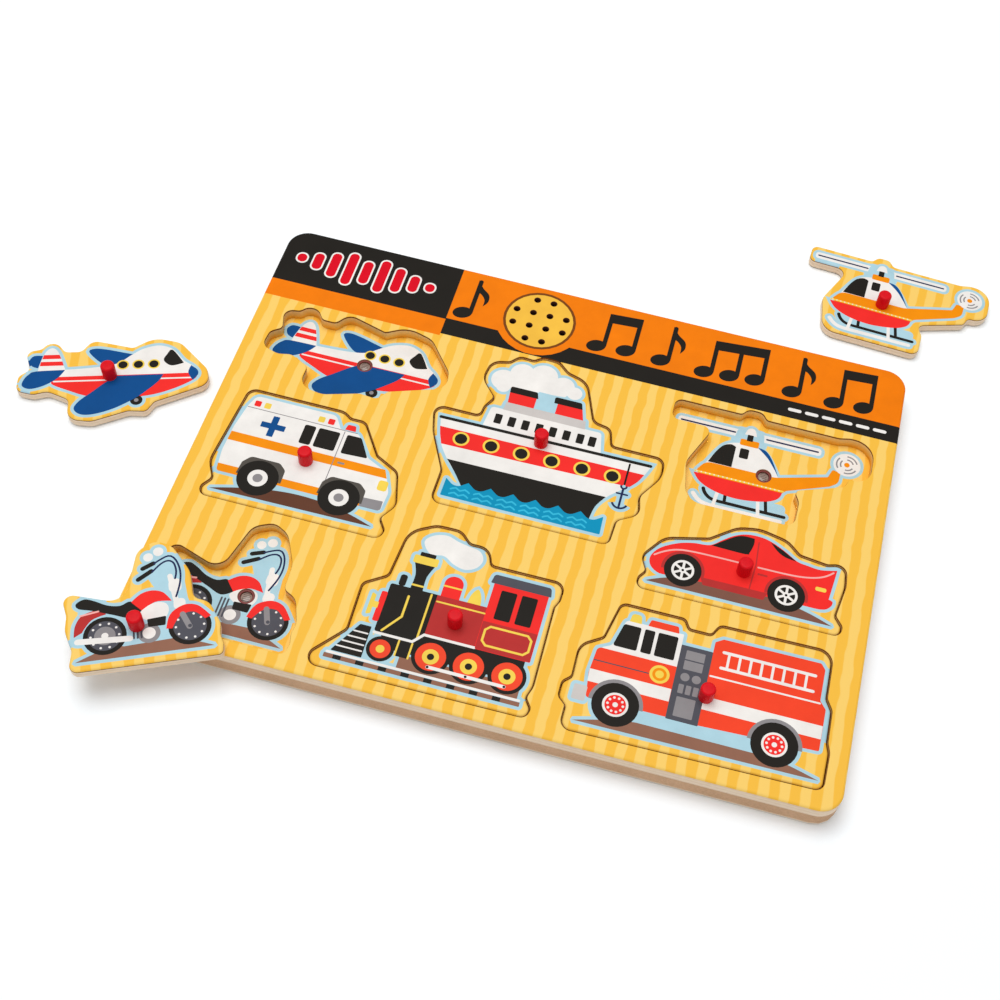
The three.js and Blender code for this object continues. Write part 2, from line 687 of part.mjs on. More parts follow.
function batteryTray() {
  const ends = [-1, 1].map((side) =>
    block(
      [roomAt[0] + (side * (roomLength - CONTACT_ROOM)) / 2, roomAt[1]],
      CONTACT_ROOM,
      roomWidth,
      TRAY_SINK - PAST,
      cellAxis + CELL_DIAMETER / 2,
    ),
  );
  const mouth = slab(grown(doorOutline, DOOR_FIT), TRAY_SINK - PAST, ledgeHeight);
  const screwHole = cylinder(
    screwAt,
    SCREW_DIAMETER + 2 * SCREW_FIT,
    ledgeHeight - PAST,
    ledgeHeight + SCREW_LENGTH + SCREW_FIT,
    PEG_SIDES,
  );
  return cut(slab(trayOutline, TRAY_SINK, trayTop), [...bayRows.map(cellBay), ...ends, mouth, screwHole]);
}

// A cell lying along X, its nub towards +X or -X.
function cellBody(y, towards) {
  const radius = CELL_DIAMETER / 2;
  const shoulder = CELL_LENGTH / 2 - NUB_LENGTH;
  return revolve([
    [0, -CELL_LENGTH / 2],
    [radius, -CELL_LENGTH / 2],
    [radius, shoulder],
    [NUB_DIAMETER / 2, shoulder],
    [NUB_DIAMETER / 2, CELL_LENGTH / 2],
    [0, CELL_LENGTH / 2],
  ])
    .rotateY((towards * Math.PI) / 2)
    .translate(roomAt[0], y, cellAxis);
}

// A sprung contact strip: a zigzag in plan that stands against an end wall and bows towards the cells.
function contactStrip(rows, side) {
  const wall = roomAt[0] + (side * roomLength) / 2 - side * CONTACT_FIT;
  const tip = roomAt[0] + side * (CELL_LENGTH / 2 + CONTACT_FIT + CONTACT_THICKNESS);
  const reachOut = bayWidth / 2 - CONTACT_FIT;
  const bends = rows.flatMap((y) => [
    [wall, y - reachOut],
    [tip, y],
    [wall, y + reachOut],
  ]);
  const near = bends.map(([x, y]) => new THREE.Vector2(x, y));
  const far = bends.map(([x, y]) => new THREE.Vector2(x - side * CONTACT_THICKNESS, y)).reverse();
  return new THREE.ExtrudeGeometry(new THREE.Shape([...near, ...far]), {
    depth: CONTACT_HEIGHT,
    bevelEnabled: false,
  }).translate(0, 0, cellAxis - CONTACT_HEIGHT / 2);
}

function doorPlate() {
  const grips = Array.from({ length: GRIP_COUNT }, (_, i) =>
    block(
      [roomAt[0] - roomLength / 2 + GRIP_FROM_END + i * GRIP_PITCH, trayAt[1]],
      GRIP_WIDTH,
      GRIP_LENGTH,
      TRAY_SINK - PAST,
      TRAY_SINK + GRIP_DEPTH,
    ),
  );
  const headSeat = cylinder(
    screwAt,
    SCREW_HEAD_DIAMETER + 2 * SCREW_FIT,
    TRAY_SINK - PAST,
    TRAY_SINK + SCREW_HEAD_HEIGHT,
    PEG_SIDES,
  );
  const hole = cylinder(screwAt, SCREW_DIAMETER + 2 * SCREW_FIT, TRAY_SINK, ledgeHeight + PAST, PEG_SIDES);
  return cut(slab(doorOutline, TRAY_SINK, ledgeHeight), [...grips, headSeat, hole]);
}

function doorScrew() {
  const head = TRAY_SINK + SCREW_HEAD_HEIGHT;
  return revolve(
    [
      [0, TRAY_SINK],
      [SCREW_HEAD_DIAMETER / 2, TRAY_SINK],
      [SCREW_HEAD_DIAMETER / 2, head],
      [SCREW_DIAMETER / 2, head],
      [SCREW_DIAMETER / 2, ledgeHeight + SCREW_LENGTH],
      [0, ledgeHeight + SCREW_LENGTH],
    ],
    PEG_SIDES,
  ).translate(...screwAt, 0);
}

add("battery_tray", batteryTray(), PLASTIC_BLACK, 0.5);
add("battery_cell_front", cellBody(bayRows[0], 1), CELL_GREY, 0.35, 0.6);
add("battery_cell_back", cellBody(bayRows[1], -1), CELL_GREY, 0.35, 0.6);
add("contact_link", contactStrip(bayRows, -1), TIN, 0.3, 0.9);
add("contact_front", contactStrip([bayRows[0]], 1), TIN, 0.3, 0.9);
add("contact_back", contactStrip([bayRows[1]], 1), TIN, 0.3, 0.9);
add("battery_door", doorPlate(), PLASTIC_BLACK, 0.5);
add("door_screw", doorScrew(), STEEL, 0.3, 0.9);

export default part;
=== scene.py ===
import math
from typing import NamedTuple

import bpy
from bpy.props import FloatProperty, FloatVectorProperty, PointerProperty
from mathutils import Matrix, Vector
from mathutils.geometry import delaunay_2d_cdt


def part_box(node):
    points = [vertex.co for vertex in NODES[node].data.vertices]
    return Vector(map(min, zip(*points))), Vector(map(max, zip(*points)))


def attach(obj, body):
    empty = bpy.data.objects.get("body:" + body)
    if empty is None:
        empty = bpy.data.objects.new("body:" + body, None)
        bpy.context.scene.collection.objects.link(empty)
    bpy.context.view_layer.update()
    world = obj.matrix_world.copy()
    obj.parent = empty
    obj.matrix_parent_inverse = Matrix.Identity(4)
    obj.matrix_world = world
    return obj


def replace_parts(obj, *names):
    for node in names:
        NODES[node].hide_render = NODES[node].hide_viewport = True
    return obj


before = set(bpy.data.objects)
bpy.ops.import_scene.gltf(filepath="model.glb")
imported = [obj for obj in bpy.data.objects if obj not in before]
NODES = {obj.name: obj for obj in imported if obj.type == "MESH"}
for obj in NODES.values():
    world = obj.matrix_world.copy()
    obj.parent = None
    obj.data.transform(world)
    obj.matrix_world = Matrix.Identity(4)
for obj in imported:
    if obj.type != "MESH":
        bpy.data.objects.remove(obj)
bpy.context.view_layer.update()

bl_info = {
    "name": "Sound Puzzle",
    "version": (1, 0, 0),
    "blender": (4, 5, 0),
    "location": "View3D > Sidebar > Puzzle",
    "description": "Dresses a wooden vehicle puzzle: printed board and pieces, pegs, sensors, battery box",
    "category": "Object",
}

MM = 0.001

# Heights of the board's layers and of a piece's top, in millimetres.
FLOOR_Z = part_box("face_plate")[0].z / MM
TOP_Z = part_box("face_plate")[1].z / MM
PIECE_TOP = (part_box("ship_piece")[1].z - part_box("ship_piece")[0].z) / MM

# Corners and openings of the board, in millimetres.
BOARD_CORNER = 10
GRILLE_AT = (-23.2, 93.6)
GRILLE_ROWS = (2, 4, 4, 2)
GRILLE_PITCH = 8.1
GRILLE_HOLE = 1.5
GRILLE_EASE = 0.2
SENSOR_MOUTH = 3.7
TRAY_CORNER = 2.3
TRAY_ROOM = 0.3

# The stage, in metres and watts.
FLOOR_REACH = 4
FLOOR_DROP = 0.0003
WORLD_STRENGTH = 0.45
SOFTBOX_AT = (-0.35, 0.28, 2.4)
SOFTBOX_SIZE = 1.7
SOFTBOX_POWER = 37

# The camera, fitted to the board's corners: the rows of its axes, its place in metres, and its lens.
CAMERA_AXES = (
    (0.96749, 0.24271, 0.07104),
    (-0.2419, 0.80623, 0.53988),
    (0.07376, -0.53952, 0.83874),
)
CAMERA_AT = (0.057545, -0.360145, 0.562555)
CAMERA_LENS = 53.757
CAMERA_SENSOR = 36
CAMERA_SHIFT = (-0.05406, 0.00951)


# Settings


def colour(name, description, red, green, blue):
    """A colour setting, given in the 0 to 255 of a paint program."""
    return FloatVectorProperty(
        name=name,
        description=description,
        default=(red / 255, green / 255, blue / 255),
        subtype="COLOR_GAMMA",
        min=0,
        max=1,
    )


def length(name, description, millimetres):
    """A length setting, given in millimetres."""
    return FloatProperty(name=name, description=description, default=millimetres * MM, unit="LENGTH", min=0)


class PuzzleInks(bpy.types.PropertyGroup):
    """The printing inks."""

    pale_yellow: colour("Pale yellow", "Light stripe of the ground", 255, 212, 112)
    deep_yellow: colour("Deep yellow", "Dark stripe of the ground", 252, 194, 70)
    orange: colour("Orange", "Bodies and bands", 252, 147, 8)
    header_orange: colour("Header orange", "Ground of the header band", 250, 128, 8)
    black: colour("Black", "Header band, tyres and windows", 36, 33, 29)
    white: colour("White", "Bodies, smoke and signs", 245, 241, 236)
    red: colour("Red", "Bodies and funnels", 250, 48, 44)
    badge_red: colour("Badge red", "Level bars in the header", 226, 12, 36)
    wheel_red: colour("Wheel red", "Wheels of the train", 247, 76, 46)
    deep_red: colour("Deep red", "Shaded panels", 188, 52, 50)
    scarlet: colour("Scarlet", "Fire engine", 253, 72, 42)
    blue: colour("Blue", "Wings and signs", 14, 78, 142)
    navy: colour("Navy", "Rotor lines and cables", 34, 44, 84)
    sky: colour("Sky", "Light line round each picture", 178, 216, 229)
    sea: colour("Sea", "Waves", 10, 148, 190)
    foam: colour("Foam", "Crests of the waves", 56, 188, 222)
    lemon: colour("Lemon", "Trim and lamps", 249, 214, 86)
    earth: colour("Earth", "Ground under the wheels", 150, 105, 85)
    clay: colour("Clay", "Ground under the car", 130, 88, 74)
    # Prints the dark ground under the ambulance, and is painted shade on the walls of the grille's holes.
    umber: colour("Umber", "Dark ground", 102, 63, 46)
    # Painted shade: this brown stands for the shade in the gaps round the pieces and under the recess rims;
    # it also prints the ring round the grille.
    scorch: colour("Scorch", "Lines that the cut leaves around the pieces", 126, 70, 26)
    grey: colour("Grey", "Metal and shadow", 146, 142, 144)
    slate: colour("Slate", "Panels and rims", 84, 84, 92)
    charcoal: colour("Charcoal", "Wheel arches", 86, 81, 75)
    bumper: colour("Bumper", "Pale metal", 207, 201, 197)
    rose: colour("Rose", "Pale line on red", 250, 178, 172)


class PuzzleFinishes(bpy.types.PropertyGroup):
    """The colours of wood, lacquer, plastic and metal."""

    birch: colour("Birch", "Edges of the pieces and the face plate", 252, 228, 200)
    # Partly the wood, partly painted yellow bounce light from the ground.
    recess: colour("Recess", "Upper part of the walls of the recesses", 255, 214, 140)
    birch_line: colour("Birch line", "Darker plies and grain", 212, 172, 132)
    fibre: colour("Fibreboard", "Middle layer", 230, 187, 149)
    fibre_dark: colour("Fibreboard fleck", "Darker fibres", 166, 124, 90)
    peg: colour("Peg", "Lacquer on the pegs", 228, 16, 30)
    resin: colour("Resin", "Sensor face", 150, 126, 114)
    collar: colour("Collar", "Ring round a sensor", 122, 38, 32)
    plastic: colour("Plastic", "Battery box and door", 38, 38, 42)
    steel: colour("Steel", "Speaker, screw and contacts", 176, 176, 180)
    paper: colour("Paper", "Speaker cone", 34, 31, 29)
    laminate: colour("Laminate", "Circuit board", 44, 104, 58)
    chip: colour("Chip", "Drop of resin on the circuit board", 22, 22, 25)
    wire: colour("Wire", "Sleeve of the leads", 176, 40, 34)
    cell: colour("Cell", "Sleeve of the cells", 116, 120, 128)


class PuzzleSizes(bpy.types.PropertyGroup):
    """The sizes of the printing and of the small edges."""

    halo: length("Halo", "Width of the light line round each picture", 1.45)
    stripe: length("Stripe", "Repeat of the ground's stripes", 8.334)
    stripe_start: length("Stripe start", "Middle of a light stripe", 4.2)
    piece_edge: length("Piece edge", "Rounding of a piece's edges", 1)
    board_edge: length("Board edge", "Rounding of the board's top edge", 1.2)
    recess_edge: length("Recess edge", "Rounding of a recess's rim", 0.35)
    # Painted shade: how far the dark brown band for the gap's shade reaches down a recess's wall.
    scorch: length("Scorch", "Depth of the dark line that the cut leaves under a recess's rim", 0.9)
    fit: length("Fit", "Gap round a seated piece", 0.6)
    paper: length("Paper", "Thickness of the picture in a recess", 0.1)
    peg_round: length("Peg round", "Rounding of a peg's top", 1.1)


def inks():
    """The ink settings."""
    return bpy.context.scene.puzzle_inks


def finishes():
    """The finish settings."""
    return bpy.context.scene.puzzle_finishes


def size(name):
    """A length setting in millimetres."""
    return getattr(bpy.context.scene.puzzle_sizes, name) / MM


# Finishes

# The materials that the faces of a slab name.
MATERIALS = {}


def linear(paint):
    """A colour setting as the shader's linear colour."""
    channels = [c / 12.92 if c <= 0.04045 else ((c + 0.055) / 1.055) ** 2.4 for c in paint]
    return (*channels, 1)


def shade(paint, amount):
    """A colour made lighter or darker by a share."""
    return tuple(min(1, c * (1 + amount)) for c in paint)


def maths(operation):
    """An operator of wires and its reflected form, as Math nodes."""

    def forward(self, other):
        return self.math(operation, self, other)

    def reflected(self, other):
        return self.math(operation, other, self)

    return forward, reflected


class Wire:
    """An output of a node; arithmetic on it adds Math nodes."""

    __add__, __radd__ = maths("ADD")
    __sub__, __rsub__ = maths("SUBTRACT")
    __mul__, __rmul__ = maths("MULTIPLY")
    __truediv__, __rtruediv__ = maths("DIVIDE")
    __mod__, __rmod__ = maths("FLOORED_MODULO")
    __gt__, __lt__ = maths("GREATER_THAN")

    def __init__(self, finish, socket):
        self.finish = finish
        self.socket = socket

    def math(self, operation, *values):
        return self.finish.node("ShaderNodeMath", {"operation": operation}, dict(enumerate(values)))

    def __abs__(self):
        return self.math("ABSOLUTE", self)

    def sin(self):
        return self.math("SINE", self)

    def clamp(self):
        return self.math("MAXIMUM", self.math("MINIMUM", self, 1), 0)


class Finish:
    """A material and the nodes that make it."""

    def __init__(self, name):
        self.material = bpy.data.materials.new(name)
        self.material.use_nodes = True
        self.tree = self.material.node_tree
        self.shader = self.tree.nodes["Principled BSDF"]

    def node(self, kind, settings=None, inputs=None, output=0):
        """A node with its settings and the values or wires of its sockets; gives one of its outputs."""
        made = self.tree.nodes.new(kind)
        for name, value in (settings or {}).items():
            setattr(made, name, value)
        for key, value in (inputs or {}).items():
            self.feed(made.inputs[key], value)
        return Wire(self, made.outputs[output])

    def feed(self, socket, value):
        if isinstance(value, Wire):
            self.tree.links.new(value.socket, socket)
        else:
            socket.default_value = value

    def surface(self, sockets):
        """Feeds the main shader; gives the material."""
        for name, value in sockets.items():
            self.feed(self.shader.inputs[name], value)
        return self.material

    def place(self):
        return self.node("ShaderNodeTexCoord", output="Object")

    def axes(self, vector):
        return [self.node("ShaderNodeSeparateXYZ", inputs={0: vector}, output=i) for i in range(3)]

    def stretched(self, x, y, z):
        return self.node("ShaderNodeMapping", inputs={"Vector": self.place(), "Scale": (x, y, z)})

    def noise(self, vector, scale, detail=3, roughness=0.5):
        sockets = {"Vector": vector, "Scale": scale, "Detail": detail, "Roughness": roughness}
        return self.node("ShaderNodeTexNoise", inputs=sockets)

    def mix(self, factor, first, second):
        """A blend of two colour settings."""
        sockets = {0: factor, 6: linear(first), 7: linear(second)}
        return self.node("ShaderNodeMix", {"data_type": "RGBA"}, sockets, 2)

    def bump(self, height, strength, distance):
        sockets = {"Strength": strength, "Distance": distance, "Height": height}
        return self.node("ShaderNodeBump", inputs=sockets)


def print_surface(finish, base):
    """Ink under a thin satin varnish: uneven gloss and the varnish's orange peel."""
    spot = finish.place()
    mottle = finish.noise(spot, scale=140, detail=4, roughness=0.6)
    peel = finish.noise(spot, scale=1500, detail=2)
    return finish.surface({
        "Base Color": base,
        "Roughness": mottle * 0.16 + 0.34,
        "Specular IOR Level": 0.06,
        "Normal": finish.bump(peel, strength=0.12, distance=0.00006),
    })


def ink_finish(name):
    """One flat ink, a little uneven as offset printing on wood is."""
    paint = getattr(inks(), name)
    finish = Finish("ink_" + name)
    cloud = finish.noise(finish.place(), scale=90, detail=5, roughness=0.62)
    base = finish.mix((cloud * 2 - 0.5).clamp(), shade(paint, -0.04), shade(paint, 0.03))
    return print_surface(finish, base)


def stripe_finish():
    """The yellow ground: soft-edged stripes along the board's short side."""
    finish = Finish("ink_stripes")
    across = finish.axes(finish.node("ShaderNodeUVMap", {"uv_map": "print"}))[0]
    period, start, waver = size("stripe") * MM, size("stripe_start") * MM, 0.0022
    cloud = finish.noise(finish.place(), scale=60, detail=4, roughness=0.6)
    wobble = (finish.noise(finish.place(), scale=110, detail=1) - 0.5) * waver
    wave = ((across + wobble - (start - period / 4)) * (2 * math.pi / period)).sin()
    light = (wave * 3 + 0.5 + (cloud - 0.5) * 0.5).clamp()
    base = finish.mix(light, inks().deep_yellow, inks().pale_yellow)
    return print_surface(finish, base)


def birch_finish():
    """Sanded edge of thin plywood: plies along the edge and short end-grain flecks."""
    paints = finishes()
    finish = Finish("birch_edge")
    ply = 0.0022
    height = finish.axes(finish.place())[2]
    plies = (height * (2 * math.pi / ply)).sin()
    fleck = finish.noise(finish.stretched(1, 1, 5), scale=420, detail=4, roughness=0.6)
    cloud = finish.noise(finish.place(), scale=45, detail=3)
    dark = (plies * 0.12 + fleck * 0.9 + cloud * 0.4 - 0.5).clamp()
    return finish.surface({
        "Base Color": finish.mix(dark, paints.birch, paints.birch_line),
        "Roughness": fleck * 0.2 + 0.6,
        "Specular IOR Level": 0.2,
        "Normal": finish.bump(fleck, strength=0.35, distance=0.00012),
    })


def recess_finish():
    """Wall of a recess: sawn wood with painted yellow bounce light from the ground, stronger towards the
    floor.
    """
    paints = finishes()
    finish = Finish("recess_wall")
    height = finish.axes(finish.place())[2]
    fleck = finish.noise(finish.stretched(1, 1, 5), scale=420, detail=4, roughness=0.6)
    # Share of painted yellow bounce light from the ground: none near the rim, most towards the floor, a
    # little uneven.
    low = ((TOP_Z * MM - height) / ((TOP_Z - FLOOR_Z) * MM) * 1.5 - 0.35 + (fleck - 0.5) * 0.5).clamp()
    return finish.surface({
        "Base Color": finish.mix(low, paints.recess, inks().deep_yellow),
        "Roughness": fleck * 0.2 + 0.55,
        "Specular IOR Level": 0.2,
        "Normal": finish.bump(fleck, strength=0.3, distance=0.00012),
    })


def fibre_finish():
    """Sawn fibreboard: fine dark flecks in a brown ground."""
    paints = finishes()
    finish = Finish("fibreboard")
    fleck = finish.noise(finish.stretched(1, 1, 3), scale=900, detail=5, roughness=0.7)
    cloud = finish.noise(finish.place(), scale=60, detail=3)
    dark = (fleck * 1.6 + cloud * 0.5 - 0.75).clamp()
    return finish.surface({
        "Base Color": finish.mix(dark, paints.fibre, paints.fibre_dark),
        "Roughness": fleck * 0.15 + 0.72,
        "Specular IOR Level": 0.2,
        "Normal": finish.bump(fleck, strength=0.4, distance=0.00015),
    })


def back_finish():
    """Plain sanded back sheet, its grain along the board."""
    paints = finishes()
    finish = Finish("plain_back")
    grain = finish.noise(finish.stretched(3, 60, 60), scale=6, detail=6, roughness=0.62)
    pores = finish.noise(finish.stretched(20, 700, 700), scale=3, detail=2)
    dark = (grain * 1.5 - 0.5 + (pores - 0.5) * 0.4).clamp()
    return finish.surface({
        "Base Color": finish.mix(dark, paints.birch, paints.birch_line),
        "Roughness": grain * 0.2 + 0.55,
        "Specular IOR Level": 0.3,
        "Normal": finish.bump(pores, strength=0.2, distance=0.0001),
    })


def peg_finish():
    """Lacquer over turned wood: the grain shows as faint lengthwise streaks under a satin coat."""
    paint = finishes().peg
    finish = Finish("peg_lacquer")
    streak = finish.noise(finish.stretched(1, 1, 0.12), scale=900, detail=3)
    return finish.surface({
        "Base Color": finish.mix(streak, shade(paint, -0.1), shade(paint, 0.06)),
        "Roughness": streak * 0.12 + 0.34,
        "Specular IOR Level": 0.12,
        "Normal": finish.bump(streak, strength=0.15, distance=0.00005),
    })


def sensor_finish():
    """Clear resin over a folded light-sensitive track."""
    paint = finishes().resin
    finish = Finish("sensor_resin")
    pitch, half_width = 0.0009, 0.0016
    x, y, _ = finish.axes(finish.place())
    fold = abs((y / pitch % 1) - 0.5) * 2
    track = (fold > 0.55) * (1 - (abs(x) > half_width))
    return finish.surface({
        "Base Color": finish.mix(track, shade(paint, 0.08), shade(paint, -0.4)),
        "Roughness": track * 0.1 + 0.2,
        "Coat Weight": 0.3,
        "Normal": finish.bump(track, strength=0.2, distance=0.00005),
    })


def moulded_finish(name, paint, roughness):
    """Moulded plastic or a sleeve, with a fine even grain."""
    finish = Finish(name)
    grain = finish.noise(finish.place(), scale=1400, detail=2)
    cloud = finish.noise(finish.place(), scale=50, detail=3)
    return finish.surface({
        "Base Color": finish.mix(cloud, shade(paint, -0.1), shade(paint, 0.1)),
        "Roughness": grain * 0.2 + roughness,
        "Normal": finish.bump(grain, strength=0.25, distance=0.00008),
    })


def metal_finish(name, paint, roughness):
    """Pressed or turned bright metal, faintly brushed."""
    finish = Finish(name)
    brushed = finish.noise(finish.stretched(1, 12, 1), scale=700, detail=4)
    return finish.surface({
        "Base Color": finish.mix(brushed, shade(paint, -0.15), paint),
        "Metallic": 1.0,
        "Roughness": brushed * 0.2 + roughness,
    })


def laminate_finish():
    """Green circuit board with copper tracks under its lacquer."""
    paint = finishes().laminate
    finish = Finish("circuit_laminate")
    row_pitch, column_pitch = 0.0026, 0.0081
    x, y, _ = finish.axes(finish.place())
    rows = abs((y / row_pitch % 1) - 0.5) > 0.36
    columns = abs((x / column_pitch % 1) - 0.5) > 0.44
    track = (rows + columns).clamp()
    return finish.surface({
        "Base Color": finish.mix(track, paint, shade(paint, 0.5)),
        "Roughness": track * 0.1 + 0.3,
        "Normal": finish.bump(track, strength=0.3, distance=0.00004),
    })


def floor_finish():
    """Pale matt floor, seen a little brighter than it lights the puzzle: white round the shadows."""
    finish = Finish("floor")
    grain = finish.noise(finish.place(), scale=30, detail=3)
    pale, extra = (0.91, 0.955, 0.99, 1), (0.14, 0.14, 0.14, 1)
    finish.surface({"Base Color": pale, "Roughness": grain * 0.1 + 0.85, "Specular IOR Level": 0.0})
    camera, glossy, through = [
        finish.node("ShaderNodeLightPath", output=f"Is {kind} Ray")
        for kind in ("Camera", "Glossy", "Transmission")
    ]
    lift = finish.node("ShaderNodeBsdfDiffuse", inputs={"Color": extra})
    seen = finish.node("ShaderNodeMixShader", inputs={0: (camera + glossy + through).clamp(), 2: lift})
    lit = Wire(finish, finish.shader.outputs[0])
    both = finish.node("ShaderNodeAddShader", inputs={0: lit, 1: seen})
    finish.feed(finish.tree.nodes["Material Output"].inputs["Surface"], both)
    return finish.material


def dress(material, *names):
    """Gives a finish to nodes of the frame."""
    for name in names:
        NODES[name].data.materials.clear()
        NODES[name].data.materials.append(material)


# Flat shapes, in millimetres

# Step along a curve, least radius of a corner, share of a side that a limited rounding may take, and the
# half angle past which a corner counts as straight.
CURVE_STEP = 1.3
LEAST_RADIUS = 0.15
SIDE_SHARE = 0.499
STRAIGHT = math.radians(89)


def arc(x, y, radius, start, sweep, step=11):
    """Points along an arc; angles in degrees."""
    count = max(1, math.ceil(abs(sweep) / step))
    angles = [math.radians(start + sweep * i / count) for i in range(count + 1)]
    return [(x + radius * math.cos(a), y + radius * math.sin(a)) for a in angles]


def circle(x, y, radius, step=12):
    """Points round a circle."""
    return arc(x, y, radius, 0, 360, step)[:-1]


def signed_area(points):
    """The area of a loop, positive where it runs anticlockwise."""
    return sum(a[0] * b[1] - b[0] * a[1] for a, b in zip(points, points[1:] + points[:1])) / 2


def outward(points):
    """For each corner of a loop, the step to its right that moves both its sides by 1."""
    sides = [(b - a).normalized() for a, b in zip(points, points[1:] + points[:1])]
    normals = [Vector((s.y, -s.x)) for s in sides]
    return [(normals[i - 1] + n) / max(0.5, 1 + normals[i - 1].dot(n)) for i, n in enumerate(normals)]


def rounded(corners, grow=0.0, limit=False):
    """The outline of corners (x, y, radius), moved outwards: round corners grow and hollow ones shrink.

    With a limit, no rounding takes more than half of the side beside it.
    """
    spots = [Vector(c[:2]) for c in corners]
    turn = math.copysign(1, signed_area([tuple(s) for s in spots]))
    sides = [(spots[(i + 1) % len(spots)] - spots[i]).normalized() for i in range(len(spots))]
    normals = [Vector((s.y, -s.x)) * turn for s in sides]
    bends = [(normals[i - 1] + n) / (1 + normals[i - 1].dot(n)) for i, n in enumerate(normals)]
    moved = [s + b * grow for s, b in zip(spots, bends)]
    points = []
    for i, spot in enumerate(moved):
        back, on = -sides[i - 1], sides[i]
        hollow = sides[i - 1].cross(sides[i]) * turn < 0
        half = math.acos(max(-1, min(1, back.dot(on)))) / 2
        if half > STRAIGHT:
            points.append(tuple(spot))
            continue
        radius = max(corners[i][2] + (-grow if hollow else grow), LEAST_RADIUS)
        if limit:
            ahead = moved[(i + 1) % len(moved)]
            room = min((moved[i - 1] - spot).length, (ahead - spot).length) * SIDE_SHARE
            radius = min(radius, room * math.tan(half))
        centre = spot + (back + on).normalized() * (radius / math.sin(half))
        reach = radius / math.tan(half)
        first, last = spot + back * reach - centre, spot + on * reach - centre
        start = math.degrees(math.atan2(first.y, first.x))
        sweep = (math.degrees(math.atan2(last.y, last.x)) - start + 180) % 360 - 180
        points += arc(centre.x, centre.y, radius, start, sweep)
    return points


def flowing(points, closed=True):
    """A smooth curve through points; a point with a third value is a sharp corner."""
    spots = [Vector(p[:2]) for p in points]
    count = len(spots)
    pulls = [(spots[(i + 1) % count] - spots[i - 1]) / 2 for i in range(count)]
    for i, point in enumerate(points):
        if len(point) > 2 or (not closed and i in (0, count - 1)):
            pulls[i] = Vector((0, 0))
    path = []
    for i in range(count if closed else count - 1):
        j = (i + 1) % count
        steps = max(2, math.ceil((spots[j] - spots[i]).length / CURVE_STEP))
        for t in [k / steps for k in range(steps)]:
            ends = spots[i] * (1 + 2 * t) * (1 - t) ** 2 + spots[j] * (3 - 2 * t) * t * t
            path.append(ends + pulls[i] * t * (1 - t) ** 2 - pulls[j] * t * t * (1 - t))
    return path if closed else path + [spots[-1]]


def swollen(loop, grow):
    """A closed curve moved outwards."""
    ordered = loop if signed_area(loop) > 0 else loop[::-1]
    return [tuple(p + s * grow) for p, s in zip(ordered, outward(ordered))]


def stroke(path, half):
    """The outline of a line with round ends and mitred bends."""
    spots = [Vector(p) for p in path]
    sides = [(b - a).normalized() for a, b in zip(spots, spots[1:])]
    left = [Vector((-s.y, s.x)) for s in sides]
    bends = [(a + b) / (1 + a.dot(b)) for a, b in zip(left, left[1:])]
    over = [s + b * half for s, b in zip(spots[1:-1], bends)]
    under = [s - b * half for s, b in zip(spots[1:-1], bends)]
    end, start = [math.degrees(math.atan2(s.y, s.x)) for s in (sides[-1], sides[0])]
    points = [tuple(p) for p in under]
    points += arc(*spots[-1], half, end - 90, 180, 30)
    points += [tuple(p) for p in reversed(over)]
    points += arc(*spots[0], half, start + 90, 180, 30)
    return points


# A drawn shape is its ink and the function that gives its outline, moved outwards by a length.


def area(ink, *corners):
    """A polygon of corners (x, y, radius)."""
    return ink, lambda grow: rounded(corners, grow, True)


def curve(ink, *points):
    """A smooth closed form through points."""
    return ink, lambda grow: swollen(flowing(points), grow)


def block(ink, left, low, right, high, radius=0.4):
    """An upright rectangle."""
    return area(ink, (left, low, radius), (right, low, radius), (right, high, radius), (left, high, radius))


def plaque(ink, left, low, right, high, cut):
    """A block with its corners cut off."""
    corners = ((left, high - cut), (left + cut, high), (right - cut, high), (right, high - cut),
               (right, low + cut), (right - cut, low), (left + cut, low), (left, low + cut))
    return area(ink, *[(x, y, 0.3) for x, y in corners])


def disc(ink, x, y, radius):
    """A round spot."""
    return ink, lambda grow: circle(x, y, radius + grow)


def target(x, y, *bands):
    """Discs on one centre, as (ink, radius) from the outside in."""
    return [disc(ink, x, y, radius) for ink, radius in bands]


def line(ink, width, *path):
    """A line with round ends through the points of a path."""
    return ink, lambda grow: stroke(path, width / 2 + grow)


def cable(ink, width, *path):
    """A line that bends smoothly."""
    return line(ink, width, *flowing(path, False))


def arch(ink, x, y, inner, outer, start, sweep):
    """A band along an arc, such as a mudguard."""

    def band(grow):
        return arc(x, y, outer + grow, start, sweep) + arc(x, y, inner - grow, start + sweep, -sweep)

    return ink, band


def ring_of(count, x, y, radius, turn=0.0):
    """Places evenly round a centre."""
    angles = [math.radians(turn + 360 * i / count) for i in range(count)]
    return [(x + radius * math.cos(a), y + radius * math.sin(a)) for a in angles]


# Pictures: each gives the shapes that make its outline, then what is drawn on them


